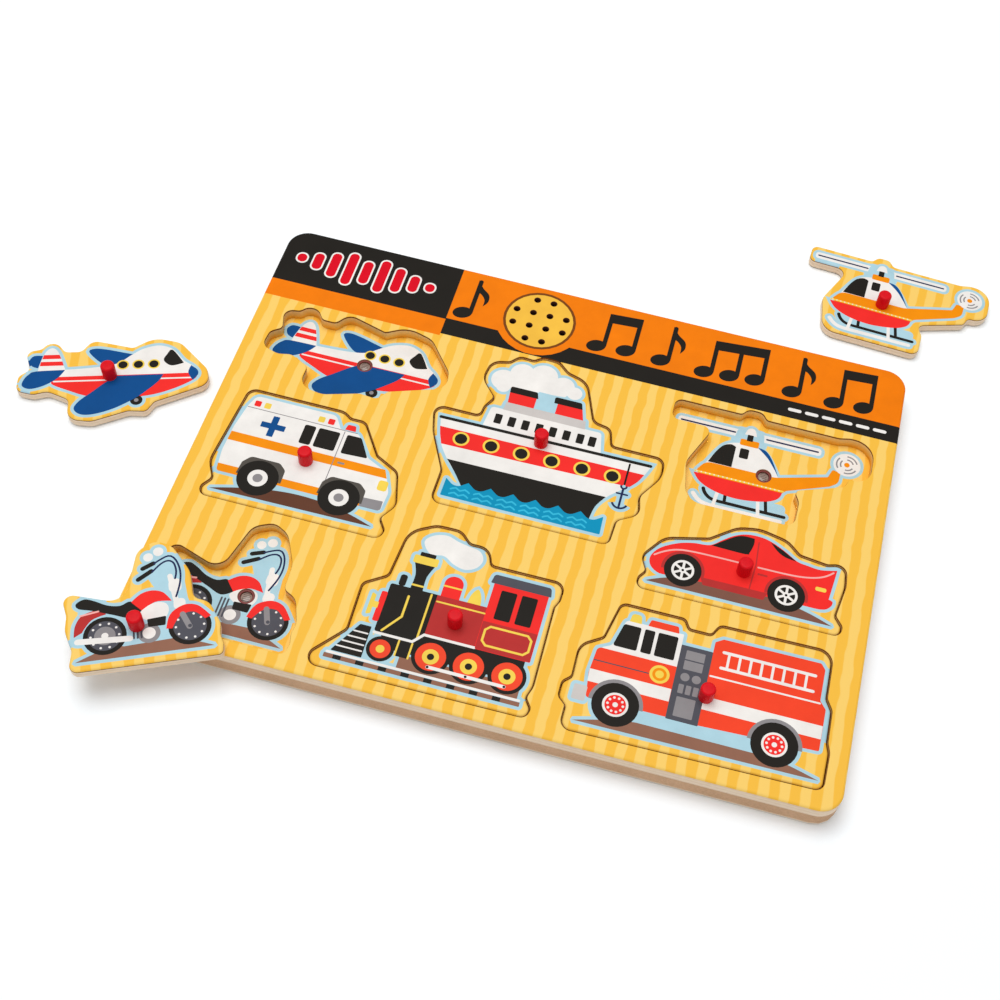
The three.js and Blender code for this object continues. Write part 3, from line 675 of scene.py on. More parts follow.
def ambulance():
    """A white ambulance with two orange bands and a plain blue cross."""
    wheels = ((-119, -29), (-82.2, -28.6))
    form = [
        curve("umber", (-137.4, -39.6, 0), (-124, -35.8), (-112, -33.4), (-100, -32.3), (-87, -33),
              (-75, -35.4), (-64, -38.8, 0)),
        area("white", (-137.6, -30.2, 1.5), (-139, -19, 8), (-138.6, -6, 14), (-136.6, 7, 8),
             (-134.4, 13, 3), (-97, 13, 3.5), (-93, 6.6, 1), (-84.4, 6.2, 3), (-76.6, -5, 5),
             (-66.6, -9.8, 4), (-62.3, -20, 6), (-63, -30.2, 1.5)),
        area("red", (-91, 6.8, 0.2), (-86, 6.8, 0.2), (-86.6, 9.8, 0.9), (-90.4, 9.8, 0.9)),
        *[disc("black", x, y, 9.2) for x, y in wheels],
    ]
    detail = [
        line("grey", 0.4, (-136.4, 6.3), (-85, 6.2)),
        area("orange", (-138.6, -8.4, 0.1), (-67.2, -8.8, 0.1), (-65.2, -13.2, 0.1),
             (-138.8, -13.2, 0.1)),
        area("orange", (-138.2, -26.2, 0.1), (-63.2, -26.2, 0.1), (-63, -30.2, 1.5),
             (-137.6, -30.2, 1.5)),
        area("grey", (-72.6, -25.4, 0.2), (-63.2, -25, 0.4), (-63, -30.2, 1.5), (-72.6, -30.2, 0.2)),
        *[block(ink, x - 1.5, 7.5, x + 1.5, 10.6, 0.6) for x, ink in
          ((-132.6, "red"), (-128, "lemon"), (-102.6, "lemon"), (-98, "red"))],
        block("blue", -123.5, -6.6, -120.5, 4.6, 0.3),
        block("blue", -127.6, -2.5, -116.4, 0.5, 0.3),
        block("black", -108.6, -6, -103.4, 4.4, 0.9),
        block("black", -102, -6, -92.2, 4.4, 0.9),
        area("black", (-89, 4.4, 0.9), (-82.4, 4.4, 1.6), (-76.6, -5.4, 0.6), (-89, -6, 0.9)),
        line("grey", 0.4, (-90.6, 5.6), (-90.6, -25.6)),
        block("grey", -88.6, -11.6, -85.4, -10.6, 0.3),
        block("lemon", -68, -20, -63.6, -14.6, 1.2),
    ]
    for x, y in wheels:
        detail += [
            area("charcoal", (x - 10, -29, 0.1), (x - 9.4, -22.6, 2), (x - 6.4, -18.9, 3),
                 (x + 6.8, -18.9, 3), (x + 10.2, -22, 2), (x + 10.4, -29, 0.1)),
            *target(x, y, ("black", 9.2), ("white", 4.4), ("grey", 2.2)),
        ]
    return form, detail


def ship():
    """A steamer with two funnels and an anchor, on waves."""
    crests = [(-40.4 + 10.2 * i, -5) for i in range(8)]
    swell = [p for a, b in zip(crests, crests[1:]) for p in ((*a, 0.2), ((a[0] + b[0]) / 2, -9, 4.6))]
    sea = area("sea", *swell, (*crests[-1], 0.2), (31.4, -14.4, 0.5), (-40.6, -14.4, 0.5))
    funnels, windows = (-18, 3), (-27, -20.6, -14.2, -7.8, -1.4, 5, 11.4, 17)
    portholes, foam = range(-40, 31, 14), [-37 + 10.6 * i for i in range(6)]
    smoke = ((-30.4, 55, 5.8), (-22.8, 60.8, 5.8), (-13, 62.2, 6.6), (-3, 59, 5.4), (3, 56.8, 3.6),
             (-29.6, 51.4, 3.4))
    hull = ((-52.2, 27, 0), (-50.8, 21), (-48, 12.4), (-43, 4.8), (-37.6, -1.4), (-31, -8.6, 0),
            (25, -8.6, 0), (26.2, -1), (30, 5.4), (36, 11.6), (40.4, 15.8), (43.6, 21.4), (46, 28, 0))
    form = [
        *[disc("white", x, y, r) for x, y, r in smoke],
        area("white", (-31, 51, 1), (0, 53.5, 1), (-2, 60, 1), (-28, 60, 1)),
        *[area("red", (x - 7.2, 42.4, 0.2), (x + 7.5, 42.4, 0.2), (x + 4.7, 52.4, 1), (x - 8, 52.4, 1))
          for x in funnels],
        area("white", (-32.8, 27.4, 0.3), (-31.6, 38.6, 1.6), (20, 38.6, 1.6), (22.2, 27.4, 0.3)),
        block("sky", -13, 42, -3, 53),
        area("bumper", (-26.4, 38.4, 0.2), (12.4, 38.4, 0.2), (11.6, 43, 0.5), (-25.8, 43, 0.5)),
        curve("white", *hull),
        sea,
        line("navy", 1, (36.2, 12), (36.2, 1.4)),
        arch("navy", 36.2, 4.8, 3, 4, 200, 140),
        line("navy", 0.9, (33.8, 9), (38.6, 9)),
        disc("navy", 36.2, 13.2, 1.7),
    ]
    detail = [
        curve("red", (-51, 21.2, 0), (43.6, 21.8, 0), (41.6, 17.4), (38.6, 13.6, 0), (-47.8, 12, 0),
              (-49.6, 16.6)),
        curve("black", (-43, 4.8, 0), (29.8, 5.4, 0), (26.2, -1), (25, -9.4, 0), (-31.6, -9.4, 0),
              (-37.6, -1.4)),
        sea,
        *[cable("foam", 0.8, *[(x + 2.1 * i, y + (0.8 if i % 2 else -0.3)) for i in range(5)])
          for y in (-9.8, -12.4) for x in foam],
        line("black", 1.6, (-52, 26.3), (45.4, 27.2)),
        *[disc(ink, x, 17, r) for ink, r in (("lemon", 3.8), ("black", 2.8)) for x in portholes],
        *[block("black", x - 1.7, 30, x + 1.7, 35.4, 0.5) for x in windows],
        *[area("black", (x - 7.7, 48.8, 0.1), (x + 5.7, 48.8, 0.1), (x + 4.7, 52.4, 1), (x - 8, 52.4, 1))
          for x in funnels],
        line("black", 0.9, (36.2, 25.6), (36.2, 14.4)),
        disc("sky", 36.2, 13.2, 0.8),
    ]
    return form, detail


def car():
    """A red sports car."""
    wheels = ((70, -21.6), (115.3, -21.2))
    form = [
        curve("clay", (55.4, -31, 0), (64, -27.2), (76, -24.6), (94, -23.6), (112, -24.4), (126, -27.2),
              (136.6, -30.8, 0)),
        curve("red", (55, -19.4), (56.6, -15.4), (60, -12), (66, -8.6), (72, -6.8), (79, -5.8),
              (84, -1.6), (88, 1.6), (92.4, 3.8), (97, 4.6), (102, 4.3), (107, 2.6), (112, 0),
              (117.4, -3.2), (122, -4), (128, -4.5), (135, -2.8, 0), (134.4, -9), (133.4, -18.2, 0),
              (135.2, -18.8), (134.6, -21.6), (130.6, -24), (118, -24, 0), (66, -25.6, 0), (60.4, -26),
              (56.2, -23.4)),
        *[disc("black", x, y, 8.2) for x, y in wheels],
    ]
    detail = [
        area("deep_red", (78, -22.8, 0.2), (107.4, -22.6, 0.2), (106, -26.4, 0.6), (79.6, -26.4, 0.6)),
        curve("black", (79.8, -5.8, 0), (84, -2.3), (89, 1.6), (92.6, 3), (97.4, 3, 0), (97.6, 0),
              (96.4, -4.8), (94.6, -6)),
        curve("black", (104.6, 3.2, 0), (110.4, 0.6), (117, -3.3, 0), (112, -2.6), (108, -0.4)),
        line("deep_red", 0.6, (99.4, -22.4), (100.2, -10), (99.6, 1.5)),
        cable("rose", 0.8, (56.6, -17.4), (60.4, -14.6), (65.4, -12.3), (72, -11.3), (84, -11),
              (98.6, -11)),
        cable("rose", 0.8, (101.4, -11), (112, -10.9), (120, -10.4), (126.4, -9), (130.6, -7),
              (133.6, -4.4)),
        block("lemon", 127, -15.2, 131.8, -13.2, 0.8),
        block("deep_red", 101.6, -14.8, 106, -13.8, 0.3),
        *[arch("deep_red", x, y, 8, 9.5, -8, 196) for x, y in wheels],
    ]
    for x, y in wheels:
        detail += target(x, y, ("black", 8.2), ("white", 5), ("black", 3.9))
        detail += [line("white", 1.1, (x, y), spot) for spot in ring_of(6, x, y, 4.3, 90)]
        detail += target(x, y, ("white", 1.5), ("black", 0.6))
    return form, detail


def train():
    """A steam engine on its track."""
    axles, slats = (-21.8, -5.7, 10.6), ((-55.4, -88.6), (-57, -91.4), (-58.6, -94.2), (-60.2, -97))
    form = [
        curve("white", (-40, -39.4), (-37, -35.4), (-31.4, -33.8), (-26, -35.4), (-21, -36.4),
              (-16, -37.4), (-13.4, -41.2), (-15, -45.6), (-19.6, -48), (-25, -46.8), (-30, -44),
              (-36, -44.6)),
        block("earth", -34, -100.4, 17, -94),
        block("black", -47.6, -86.4, -26, -62.9, 1),
        block("black", -44, -93, 16, -82.6, 0.4),
        block("deep_red", -27.2, -83, -5.6, -62.9, 0.3),
        block("red", -5.8, -83, 18, -50, 0.4),
        area("slate", (-7.4, -50.8, 0.4), (19, -50.8, 0.4), (18.2, -46.4, 1.4), (-6.6, -46.4, 1.4)),
        curve("black", (-41, -50.2, 0), (-32, -50.2, 0), (-34, -56), (-33.8, -62.9, 0), (-39.2, -62.9, 0),
              (-39, -56)),
        block("lemon", -42, -50.4, -31.2, -46.4, 0.8),
        block("black", -39.8, -46.6, -33, -44.6, 0.4),
        block("black", -44.6, -63, -41.6, -57.4, 1.2),
        area("red", (-26, -63, 0.2), (-17.9, -63, 0.2), (-17.9, -52.4, 3.9), (-26, -52.4, 3.9)),
        curve("lemon", (-14.4, -62.9, 0), (-8.6, -62.9, 0), (-9.4, -58.6), (-11.5, -55.6),
              (-13.6, -58.6)),
        block("red", -50, -82, -47.4, -67.4, 0.8),
        area("lemon", (-53.6, -80, 0.5), (-51.6, -79, 0.4), (-51.6, -70, 0.4), (-53.6, -69, 0.5)),
        block("lemon", -52.2, -76, -49.6, -73),
        area("black", (-49, -85, 0.3), (-53.8, -85, 0.6), (-62, -99.8, 0.4), (-48.8, -99.8, 0.3)),
        disc("black", -42.6, -93.8, 5.8),
        *[disc("black", x, -91.6, 8) for x in axles],
        line("white", 1.1, (-63, -100.7), (18, -100.7)),
        block("earth", -64, -103.4, 18.6, -101.4, 0.3),
    ]
    detail = [
        line("lemon", 0.8, (-26.6, -66), (-6, -66)),
        line("lemon", 1, (-44.6, -85.4), (-38.6, -77), (-38.6, -67)),
        line("lemon", 0.9, (-29.6, -63.6), (-29.6, -85.6)),
        line("lemon", 0.8, (-25.8, -57.8), (-18.2, -57.8)),
        line("lemon", 0.9, (-38.8, -61), (-34.2, -61)),
        line("white", 1.2, (-47.4, -87), (-31, -87), (-27.2, -82.6), (-5.8, -82.6)),
        block("black", -36, -95.2, -30.6, -87.8, 0.4),
        *[line("lemon", 0.8, (x, -88), (x, -95)) for x in (-36.2, -30.6)],
        block("deep_red", -5.6, -82.8, 17.8, -69.4, 0.2),
        *[block("black", x, -67.4, x + 6.9, -53.2, 0.7) for x in (-1.9, 7.1)],
        plaque("lemon", -4.2, -80.8, 16.6, -70.8, 2.2),
        plaque("deep_red", -3.2, -79.8, 15.6, -71.8, 1.6),
        *[line("white", 0.7, (start, y), (-49.6, y)) for start, y in slats],
        *target(-42.6, -93.8, ("black", 5.8), ("wheel_red", 4.3), ("lemon", 1.8)),
        *[block("black", x, -103.4, x + 3.4, -101.4, 0.2) for x in [-60 + 9.6 * i for i in range(8)]],
    ]
    for x in axles:
        detail += target(x, -91.6, ("black", 8), ("wheel_red", 6.4), ("lemon", 3.5), ("black", 1.5))
    detail += [line("white", 1.5, (axles[0], -96.4), (axles[2], -96.4))]
    detail += [disc("black", x, -96.4, 0.6) for x in axles]
    return form, detail


def fire_engine():
    """A fire engine with a ladder and a plain round badge."""
    wheels = ((56, -91.6), (121.8, -91.1))
    form = [
        curve("earth", (40.6, -102.8, 0), (58, -98.2), (74, -96.2), (91, -95.5), (110, -96), (126, -97.8),
              (141.4, -101.6, 0)),
        block("sky", 58, -97, 120, -89),
        area("white", (43.4, -68.4, 0.6), (48.8, -65.4, 3), (52.2, -52.2, 2), (76.8, -52.2, 0.4),
             (76.8, -69, 0.2)),
        area("scarlet", (43.2, -67.8, 2), (76.8, -67.8, 0.2), (76.8, -91.2, 0.2), (43.6, -91.4, 1),
             (42.2, -80, 6)),
        area("scarlet", (61.4, -52.4, 0.3), (74.8, -52.4, 0.3), (74, -49.2, 0.8), (62.2, -49.2, 0.8)),
        area("lemon", (53.4, -52.4, 0.3), (58.6, -52.4, 0.3), (58, -48.4, 1.4), (54, -48.4, 1.4)),
        block("bumper", 37.8, -93.6, 43.4, -86.6, 0.8),
        area("scarlet", (89.6, -91.4, 0.3), (139.8, -89, 0.8), (139.8, -70, 1.4), (137, -66.6, 1.4),
             (137, -52, 1.8), (135, -49.4, 1), (93.4, -49.8, 1), (90.2, -52, 0.6)),
        block("slate", 76.8, -91.8, 90.2, -57, 0.4),
        *[disc("black", x, y, 9.8) for x, y in wheels],
    ]
    detail = [
        area("white", (42.3, -78.4, 0.1), (76.7, -78.4, 0.1), (76.7, -84.2, 0.1), (42.6, -84.2, 0.1)),
        area("white", (90.2, -77.8, 0.1), (139.7, -77.6, 0.1), (139.7, -83.6, 0.1), (90.2, -83.8, 0.1)),
        line("white", 0.8, (91, -68), (137, -67.8)),
        area("black", (51.6, -54.2, 1.2), (59, -54.2, 0.8), (59, -65.4, 0.8), (48.9, -65.4, 1)),
        block("black", 60.6, -65.4, 65, -54.2, 0.7),
        block("black", 66.4, -65.4, 74.9, -54.2, 0.7),
        *[line("white", 1.4, (94.6, y), (133.4, y)) for y in (-55.8, -63.2)],
        *[line("white", 1.1, (97 + 4.7 * i, -55.8), (97 + 4.7 * i, -63.2)) for i in range(8)],
        *target(70.6, -73.2, ("lemon", 4.2), ("orange", 3), ("lemon", 1.8)),
        block("grey", 79.4, -68, 87.4, -59, 0.4),
        line("slate", 0.6, (79.6, -63.5), (87.2, -63.5)),
        *[disc("grey", x, -71.5, 1.9) for x in (81, 85.8)],
        *[block("grey", x, -79.2, x + 2.2, -75, 0.3) for x in (79.2, 82.3, 85.4)],
        block("grey", 79.4, -89.8, 87.4, -80.8, 0.4),
        line("slate", 0.5, (43.2, -74), (66, -74)),
        *[arch("grey", x, y, 9.6, 11.4, 0, 180) for x, y in wheels],
    ]
    for x, y in wheels:
        detail += target(x, y, ("black", 9.8), ("white", 5.4), ("red", 4.4))
        detail += [disc("white", *spot, 0.55) for spot in ring_of(10, x, y, 3.2)]
        detail += [disc("white", x, y, 1.1)]
    return form, detail


def plane():
    """An aeroplane with two red stripes on its fin."""
    windows = (-94.6, -87.6, -80.6)
    tailplane = curve("blue", (-133.4, 51.8), (-120.4, 52.2, 0), (-123.6, 47.4), (-129.4, 43.4),
                      (-135.4, 41.8), (-139, 43.8), (-138.4, 47.4), (-136.4, 50.2))
    wing = curve("blue", (-97, 47.9, 0), (-76, 48.1, 0), (-78, 44.2), (-82.4, 39.6), (-88, 34.8),
                 (-97, 29.4), (-106, 26.4), (-112, 26.6), (-115, 29.8), (-113, 34), (-107.6, 39),
                 (-102, 44.2))
    form = [
        curve("blue", (-136.8, 58), (-135, 60.8), (-131, 60.8, 0), (-132.6, 53.6, 0), (-135.4, 54.8)),
        curve("blue", (-110.4, 62.6), (-107.6, 64.2), (-102, 63.4), (-96, 61.8), (-90.2, 60.2, 0),
              (-94.4, 56.2), (-98.4, 53.7, 0), (-102.2, 54.2), (-106.4, 57.4)),
        curve("white", (-132.6, 51.8, 0), (-131.4, 58.4), (-129.6, 63.4), (-127.2, 65.2), (-124.8, 63.6),
              (-122.6, 58.8), (-120.2, 51.8, 0)),
        curve("white", (-131, 52.2, 0), (-118, 52.4), (-105, 53.4), (-97, 55.2), (-91, 59.8), (-86, 63.2),
              (-80, 65), (-75.6, 64.4), (-71.4, 61.8), (-67, 55.8), (-62.8, 52.4), (-60.3, 48.8),
              (-61, 45.8), (-64.4, 43), (-71, 39.6), (-79, 36.8), (-88, 35.4), (-98, 35.2), (-109, 36.6),
              (-118, 40.2), (-126, 44.4)),
        tailplane,
        wing,
        disc("black", -87.5, 33.6, 2.8),
    ]
    detail = [
        curve("red", (-124.6, 48.2, 0), (-61.4, 48.4, 0), (-61, 45.8), (-64.4, 43), (-71, 39.6),
              (-79, 36.8), (-88, 35.4), (-98, 35.2), (-109, 36.6), (-118, 40.2), (-126, 44.4)),
        line("white", 0.8, (-125, 45.6), (-63, 45.6)),
        curve("blue", (-63.6, 52.8, 0), (-60.6, 50), (-60.4, 47), (-62.6, 44.2, 0), (-64.8, 48.6)),
        tailplane,
        *target(-87.5, 33.6, ("black", 2.8), ("grey", 1)),
        wing,
        *[disc(ink, x, 54.2, r) for ink, r in (("lemon", 2.8), ("black", 2.1)) for x in windows],
        curve("black", (-76.2, 56.2), (-74.8, 59.8), (-72.4, 62.3), (-67, 54.4, 0), (-72.6, 53)),
        area("red", (-130.6, 61.2, 0.2), (-123.6, 61.2, 0.2), (-122.6, 58.8, 0.2), (-131.2, 58.8, 0.2)),
        area("red", (-131.6, 57.2, 0.2), (-122, 57.2, 0.2), (-121.2, 54.8, 0.2), (-132, 54.8, 0.2)),
    ]
    return form, detail


def helicopter():
    """A helicopter with skids."""
    belly = curve("red", (64.6, 34, 0), (105.6, 34, 0), (104.4, 30.6), (100, 27.6), (92, 25.6), (84, 25),
                  (75, 26.4), (68.2, 29.6))
    form = [
        block("white", 52, 59.2, 119.6, 63.4, 1.6),
        area("sky", (79, 56, 1), (80, 64, 2), (92.4, 64, 2), (93.4, 56, 1)),
        curve("white", (83.6, 61.4, 0), (84.6, 64.6), (86.4, 65.6), (88.2, 64.6), (89.2, 61.4, 0)),
        curve("white", (69, 40.6, 0), (73, 49), (76.2, 53.4), (81, 55.6), (88, 56), (93, 54.6),
              (97.4, 50), (102.8, 41, 0)),
        block("orange", 82.2, 55, 91, 58.6, 0.8),
        block("black", 85, 58, 87.8, 61.6, 0.3),
        area("orange", (64.6, 34, 1.5), (69, 41.2, 5), (101, 41.4, 8), (124.4, 48.8, 1), (126, 53.6, 1),
             (129.8, 52.6, 1), (129.6, 46.8, 4), (126, 43.8, 5), (107, 35.6, 3), (105.8, 34, 0.3)),
        belly,
        disc("white", 132, 58, 6.3),
        block("sky", 73, 17.4, 107, 26, 1),
        cable("black", 1.7, (70.6, 26.4), (72, 23.8), (75.6, 21.6), (84, 21.3), (108.4, 21.3)),
        cable("white", 2, (66.6, 22.6), (69.6, 19.6), (74, 18.3), (84, 18.3), (107, 18.5)),
        *[line("black", 1.5, a, b) for a, b in (((80.8, 26), (81, 22)), ((99, 27.4), (100, 22)))],
        *[line("white", 1.6, a, b) for a, b in (((77.2, 26.4), (76.4, 19)), ((95.6, 26.8), (96.8, 19)))],
    ]
    detail = [
        belly,
        curve("black", (69.8, 41.4, 0), (72.6, 48.4), (75.4, 52.6), (78.8, 54), (80.9, 53, 0),
              (80.8, 41.4, 0)),
        block("black", 83, 47.6, 87.2, 53.2, 0.7),
        curve("blue", (90.6, 55.6, 0), (94.6, 54.8), (98.2, 50.6), (102.4, 42.2, 0), (96.4, 50.6)),
        line("lemon", 0.9, (65.2, 34.9), (105.8, 34.9)),
        *[disc("white", 66 + 2 * i, 34.9, 0.32) for i in range(20)],
        *[line("navy", 0.9, a, b) for a, b in (((53.6, 61.3), (79, 61.3)), ((94, 61.3), (118, 61.3)))],
        *[arch("grey", 132, 58, r, r + 0.7, start, 75) for r in (2.6, 4.4) for start in (20, 140, 260)],
        disc("orange", 132, 58, 1.3),
    ]
    return form, detail


def motorcycle():
    """A motorcycle with high handlebars."""
    rear, front = (-125.3, -92.2), (-91.8, -92.3)
    exhaust = line("white", 2.6, (-136, -93.6), (-115.6, -94.8))
    mudguard = curve("red", (-97.6, -84.2), (-93, -82.2), (-88, -83.4), (-83.2, -88.8, 0),
                     (-85.6, -89.8, 0), (-90, -86), (-95.4, -87.2), (-98.8, -92.6, 0), (-101.2, -92.4, 0),
                     (-100, -87.2))
    form = [
        curve("earth", (-137.2, -102.8, 0), (-127, -98.8), (-116, -96.6), (-104, -96.4), (-93, -98.4),
              (-82.6, -102.6, 0)),
        area("sky", (-107, -66, 1), (-104, -59, 1), (-100, -57.6, 2), (-96, -60, 3), (-94.4, -70, 3),
             (-93, -83, 2), (-99, -86, 2), (-101.6, -76, 2)),
        area("sky", (-134, -79, 1), (-112, -79, 1), (-99, -84, 1), (-97, -97, 1), (-118, -98, 1),
             (-136, -92, 1)),
        *[disc("black", *spot, 8.6) for spot in (rear, front)],
        curve("deep_red", (-137.4, -91.4, 0), (-136.8, -86), (-133.6, -81.4), (-126, -79.4, 0),
              (-124.6, -82.4, 0), (-130.4, -84.4), (-134.2, -89.6, 0)),
        curve("black", (-136.4, -76), (-133, -74.2), (-129, -75.6), (-124, -78.3), (-119, -79.2),
              (-114.6, -77.8), (-110.4, -82.6, 0), (-115, -85.4), (-122, -83), (-130, -80),
              (-135.4, -78.4)),
        curve("red", (-114.6, -78.2, 0), (-110.6, -74.8), (-106, -73.8), (-101.6, -75.4),
              (-98.4, -79.8, 0), (-105, -79.4), (-110.4, -82.8, 0)),
        curve("white", (-111.6, -84.4), (-108, -80.8), (-104, -79.6), (-100.6, -80.8), (-99.8, -84.2),
              (-102, -87.6), (-107.4, -88)),
        mudguard,
        disc("grey", -108, -93.4, 4.5),
        exhaust,
        line("white", 2.2, (-98.6, -68), (-96.2, -83)),
        block("white", -99.4, -76, -94.2, -69.4, 2.4),
        block("white", -97.8, -84, -93, -79, 1.8),
        line("black", 2, (-111.4, -68), (-106, -64.6)),
        line("black", 2, (-109.4, -63), (-105, -61)),
        cable("navy", 0.8, (-105.6, -65), (-102, -61.6), (-99, -60.5), (-96.8, -62), (-96, -66),
              (-96.6, -69.4)),
        cable("navy", 0.8, (-104.6, -61), (-99, -58.2), (-96, -60.4), (-94.4, -66), (-94.8, -72),
              (-96.6, -78)),
        disc("white", -107, -57.8, 2), disc("white", -102.8, -55.6, 2.1),
    ]
    detail = [
        area("black", (-108.6, -87, 0.4), (-101, -86.4, 0.4), (-101.4, -90.6, 0.6), (-108.2, -90.6, 0.6)),
        line("rose", 0.8, (-134.8, -81.8), (-127.6, -80.6)),
        disc("white", -108, -93.4, 2.6),
        *[line("slate", 0.8, (x, -86.6), (x, -95)) for x in (-114, -112.5, -111)],
    ]
    for spot in (rear, front):
        detail += target(*spot, ("black", 8.6), ("slate", 6.7))
        detail += [disc("white", *end, 0.5) for end in ring_of(10, *spot, 5.6)]
    detail += [
        *target(*rear, ("grey", 4.2), ("white", 1.4)),
        exhaust,
        mudguard,
        line("grey", 2.4, (-94.4, -86.6), (-92, -92.6)), disc("slate", *front, 0.8),
    ]
    return form, detail


class Vehicle(NamedTuple):
    """Peg and sensor on the board, turn where it lies loose, picture, and its corners round the peg."""

    peg: tuple
    sensor: tuple
    turn: float
    picture: object
    corners: list


VEHICLES = {
    "plane": Vehicle((-100, 48), (-95.3, 47.8), 19.5, plane, [
        (-39.2, 15.8, 3.5), (-32, 17, 4), (-27.2, 23.6, 4.5), (-21.3, 15, 3.5), (-14, 15, 3.5),
        (-9.3, 21.6, 5), (9.5, 16.4, 3), (19, 22.2, 12), (31.2, 18.8, 8), (43.7, 3, 6), (45.2, -5.7, 6),
        (20.5, -15.2, 3), (17, -20.5, 3), (9, -19.8, 5), (-7, -25.2, 8), (-18, -23.5, 6),
        (-17.8, -12.5, 3.5), (-27.5, -7.4, 6), (-34, -9, 6), (-41.8, -6.5, 4), (-41.2, 1.6, 3.5),
        (-36.2, 5.3, 3)]),
    "ambulance": Vehicle((-102, -14.5), (-102, -14.5), 0, ambulance, [
        (-36.5, 30, 4), (8.1, 30, 7), (11.5, 27.2, 4), (18.5, 27.3, 4), (29, 11.4, 4), (40.1, 5.6, 5),
        (44.7, -11.1, 6), (39.7, -19.1, 3), (43.5, -24.6, 2.5), (42.7, -29, 3.5), (-37.9, -29.1, 3.2),
        (-38.3, -25.1, 2.5), (-35.1, -20.1, 3), (-39.7, -11.6, 10)]),
    "ship": Vehicle((-5, 25), (-5, 25), 0, ship, [
        (-51.4, 6.4, 4), (-30, 6.4, 3), (-29.4, 12.3, 6), (-26.2, 18.6, 3), (-34.4, 27.8, 8),
        (-33, 38.2, 6), (-25, 40.2, 4), (-21.2, 44.7, 4), (-14.5, 44.2, 3), (-10.7, 47.2, 4),
        (-3.2, 47, 5), (2.3, 42.1, 6), (12.1, 39.3, 9), (20, 18.1, 5), (28.4, 16.6, 4), (30.8, 7.2, 3),
        (55.4, 7.2, 4), (56, -2.7, 12), (48.5, -15.2, 6), (50.7, -24.6, 5), (41.6, -30.2, 4),
        (40.9, -43.4, 3), (-38.4, -43.7, 4), (-38.2, -26.8, 6), (-47.7, -7.7, 20)]),
    "helicopter": Vehicle((90, 39.5), (95.9, 40.9), -2.8, helicopter, [
        (-40.5, 27.8, 3), (-9.5, 27.8, 3), (-7, 31.3, 3.5), (-1, 31.3, 3.5), (1.5, 27.6, 3),
        (36, 27.4, 8), (41, 28.7, 8), (52, 28.5, 9), (52, 7.3, 7), (43, 7, 2.5), (41.3, 2.3, 2.5),
        (19.3, -6.3, 3), (22.6, -12.5, 5), (22.4, -25.1, 4), (-25.8, -25.1, 8), (-27.4, -14.5, 8),
        (-29.2, -5.2, 8), (-20.2, 17.4, 4), (-40.5, 17.5, 3)]),
    "car": Vehicle((95.5, -15), (95.5, -15), 0, car, [
        (-43.2, -20.2, 3), (-42.8, -15.4, 2.5), (-40.3, -11.7, 2.5), (-43.8, -4.7, 5), (-36, 6.8, 9),
        (-17.2, 11.9, 5), (-6, 21, 12), (3.5, 22.9, 14), (16, 20.4, 10), (22.3, 14.8, 4), (35, 13.2, 4),
        (42.8, 15.7, 4), (43.8, 4.8, 12), (41.4, -10.7, 3), (45, -15.2, 2.5), (44.4, -19.5, 3)]),
    "train": Vehicle((-16.5, -74), (-16.5, -74), 0, train, [
        (-32.8, 14, 4), (-31, 37.2, 10), (-20.5, 43.4, 8), (-9.8, 43.6, 6), (-4.5, 38.4, 4), (4, 38.6, 6),
        (6.9, 30.6, 3), (39.3, 30.8, 4), (39.1, 22.5, 4), (37.6, 19, 4), (38.2, -19, 8), (36.5, -24.8, 3),
        (39.5, -29, 2.5), (38.7, -33.2, 3), (-57, -34.1, 4), (-41.5, -15, 4), (-42.2, 7.5, 3.5)]),
    "fire_engine": Vehicle((91, -78), (91, -78), 0, fire_engine, [
        (-42.4, 32.6, 3), (-15.3, 32.7, 2.5), (-12.8, 28.4, 2.5), (-2.8, 28.4, 2.5), (-0.1, 33.8, 3),
        (47.8, 34.7, 6), (48.1, 12.7, 4), (50.9, 7.9, 4), (51.2, -6.8, 6), (52.6, -10.8, 6),
        (52.4, -27.3, 3.5), (-54.1, -29.5, 4), (-54.2, -19.3, 2.5), (-57.9, -16.1, 3), (-57.9, -9.5, 3),
        (-54.6, -6.3, 3), (-55, 8.7, 7), (-46, 14.8, 3.5)]),
    "motorcycle": Vehicle((-112.7, -89.3), (-104.6, -83.2), 24.6, motorcycle, [
        (-29.8, 19.7, 3.5), (-4.8, 11.5, 7), (1.2, 35.8, 7), (9, 39.6, 5), (15.7, 36.1, 8),
        (22.4, 22.8, 12), (22.9, 10.3, 4), (29.2, 7.3, 6), (33.2, -3.2, 6), (32.6, -8.2, 5),
        (33.7, -12.7, 2.5), (33.1, -17.5, 2.2), (-27.4, -17.5, 3.5), (-25.8, -7.7, 4), (-28.4, 1.8, 8),
        (-27.7, 8.6, 5)]),
}


def outline_of(name, grow=0.0):
    """A piece's outline on the board."""
    peg = VEHICLES[name].peg
    return rounded([(x + peg[0], y + peg[1], r) for x, y, r in VEHICLES[name].corners], grow)


def picture_of(name):
    """A vehicle's picture on the board as (ink, outline) pairs from the bottom up, its light line first."""
    form, detail = VEHICLES[name].picture()
    halo = [("sky", shape(size("halo"))) for _, shape in form]
    return halo + [(ink, shape(0)) for ink, shape in form + detail]


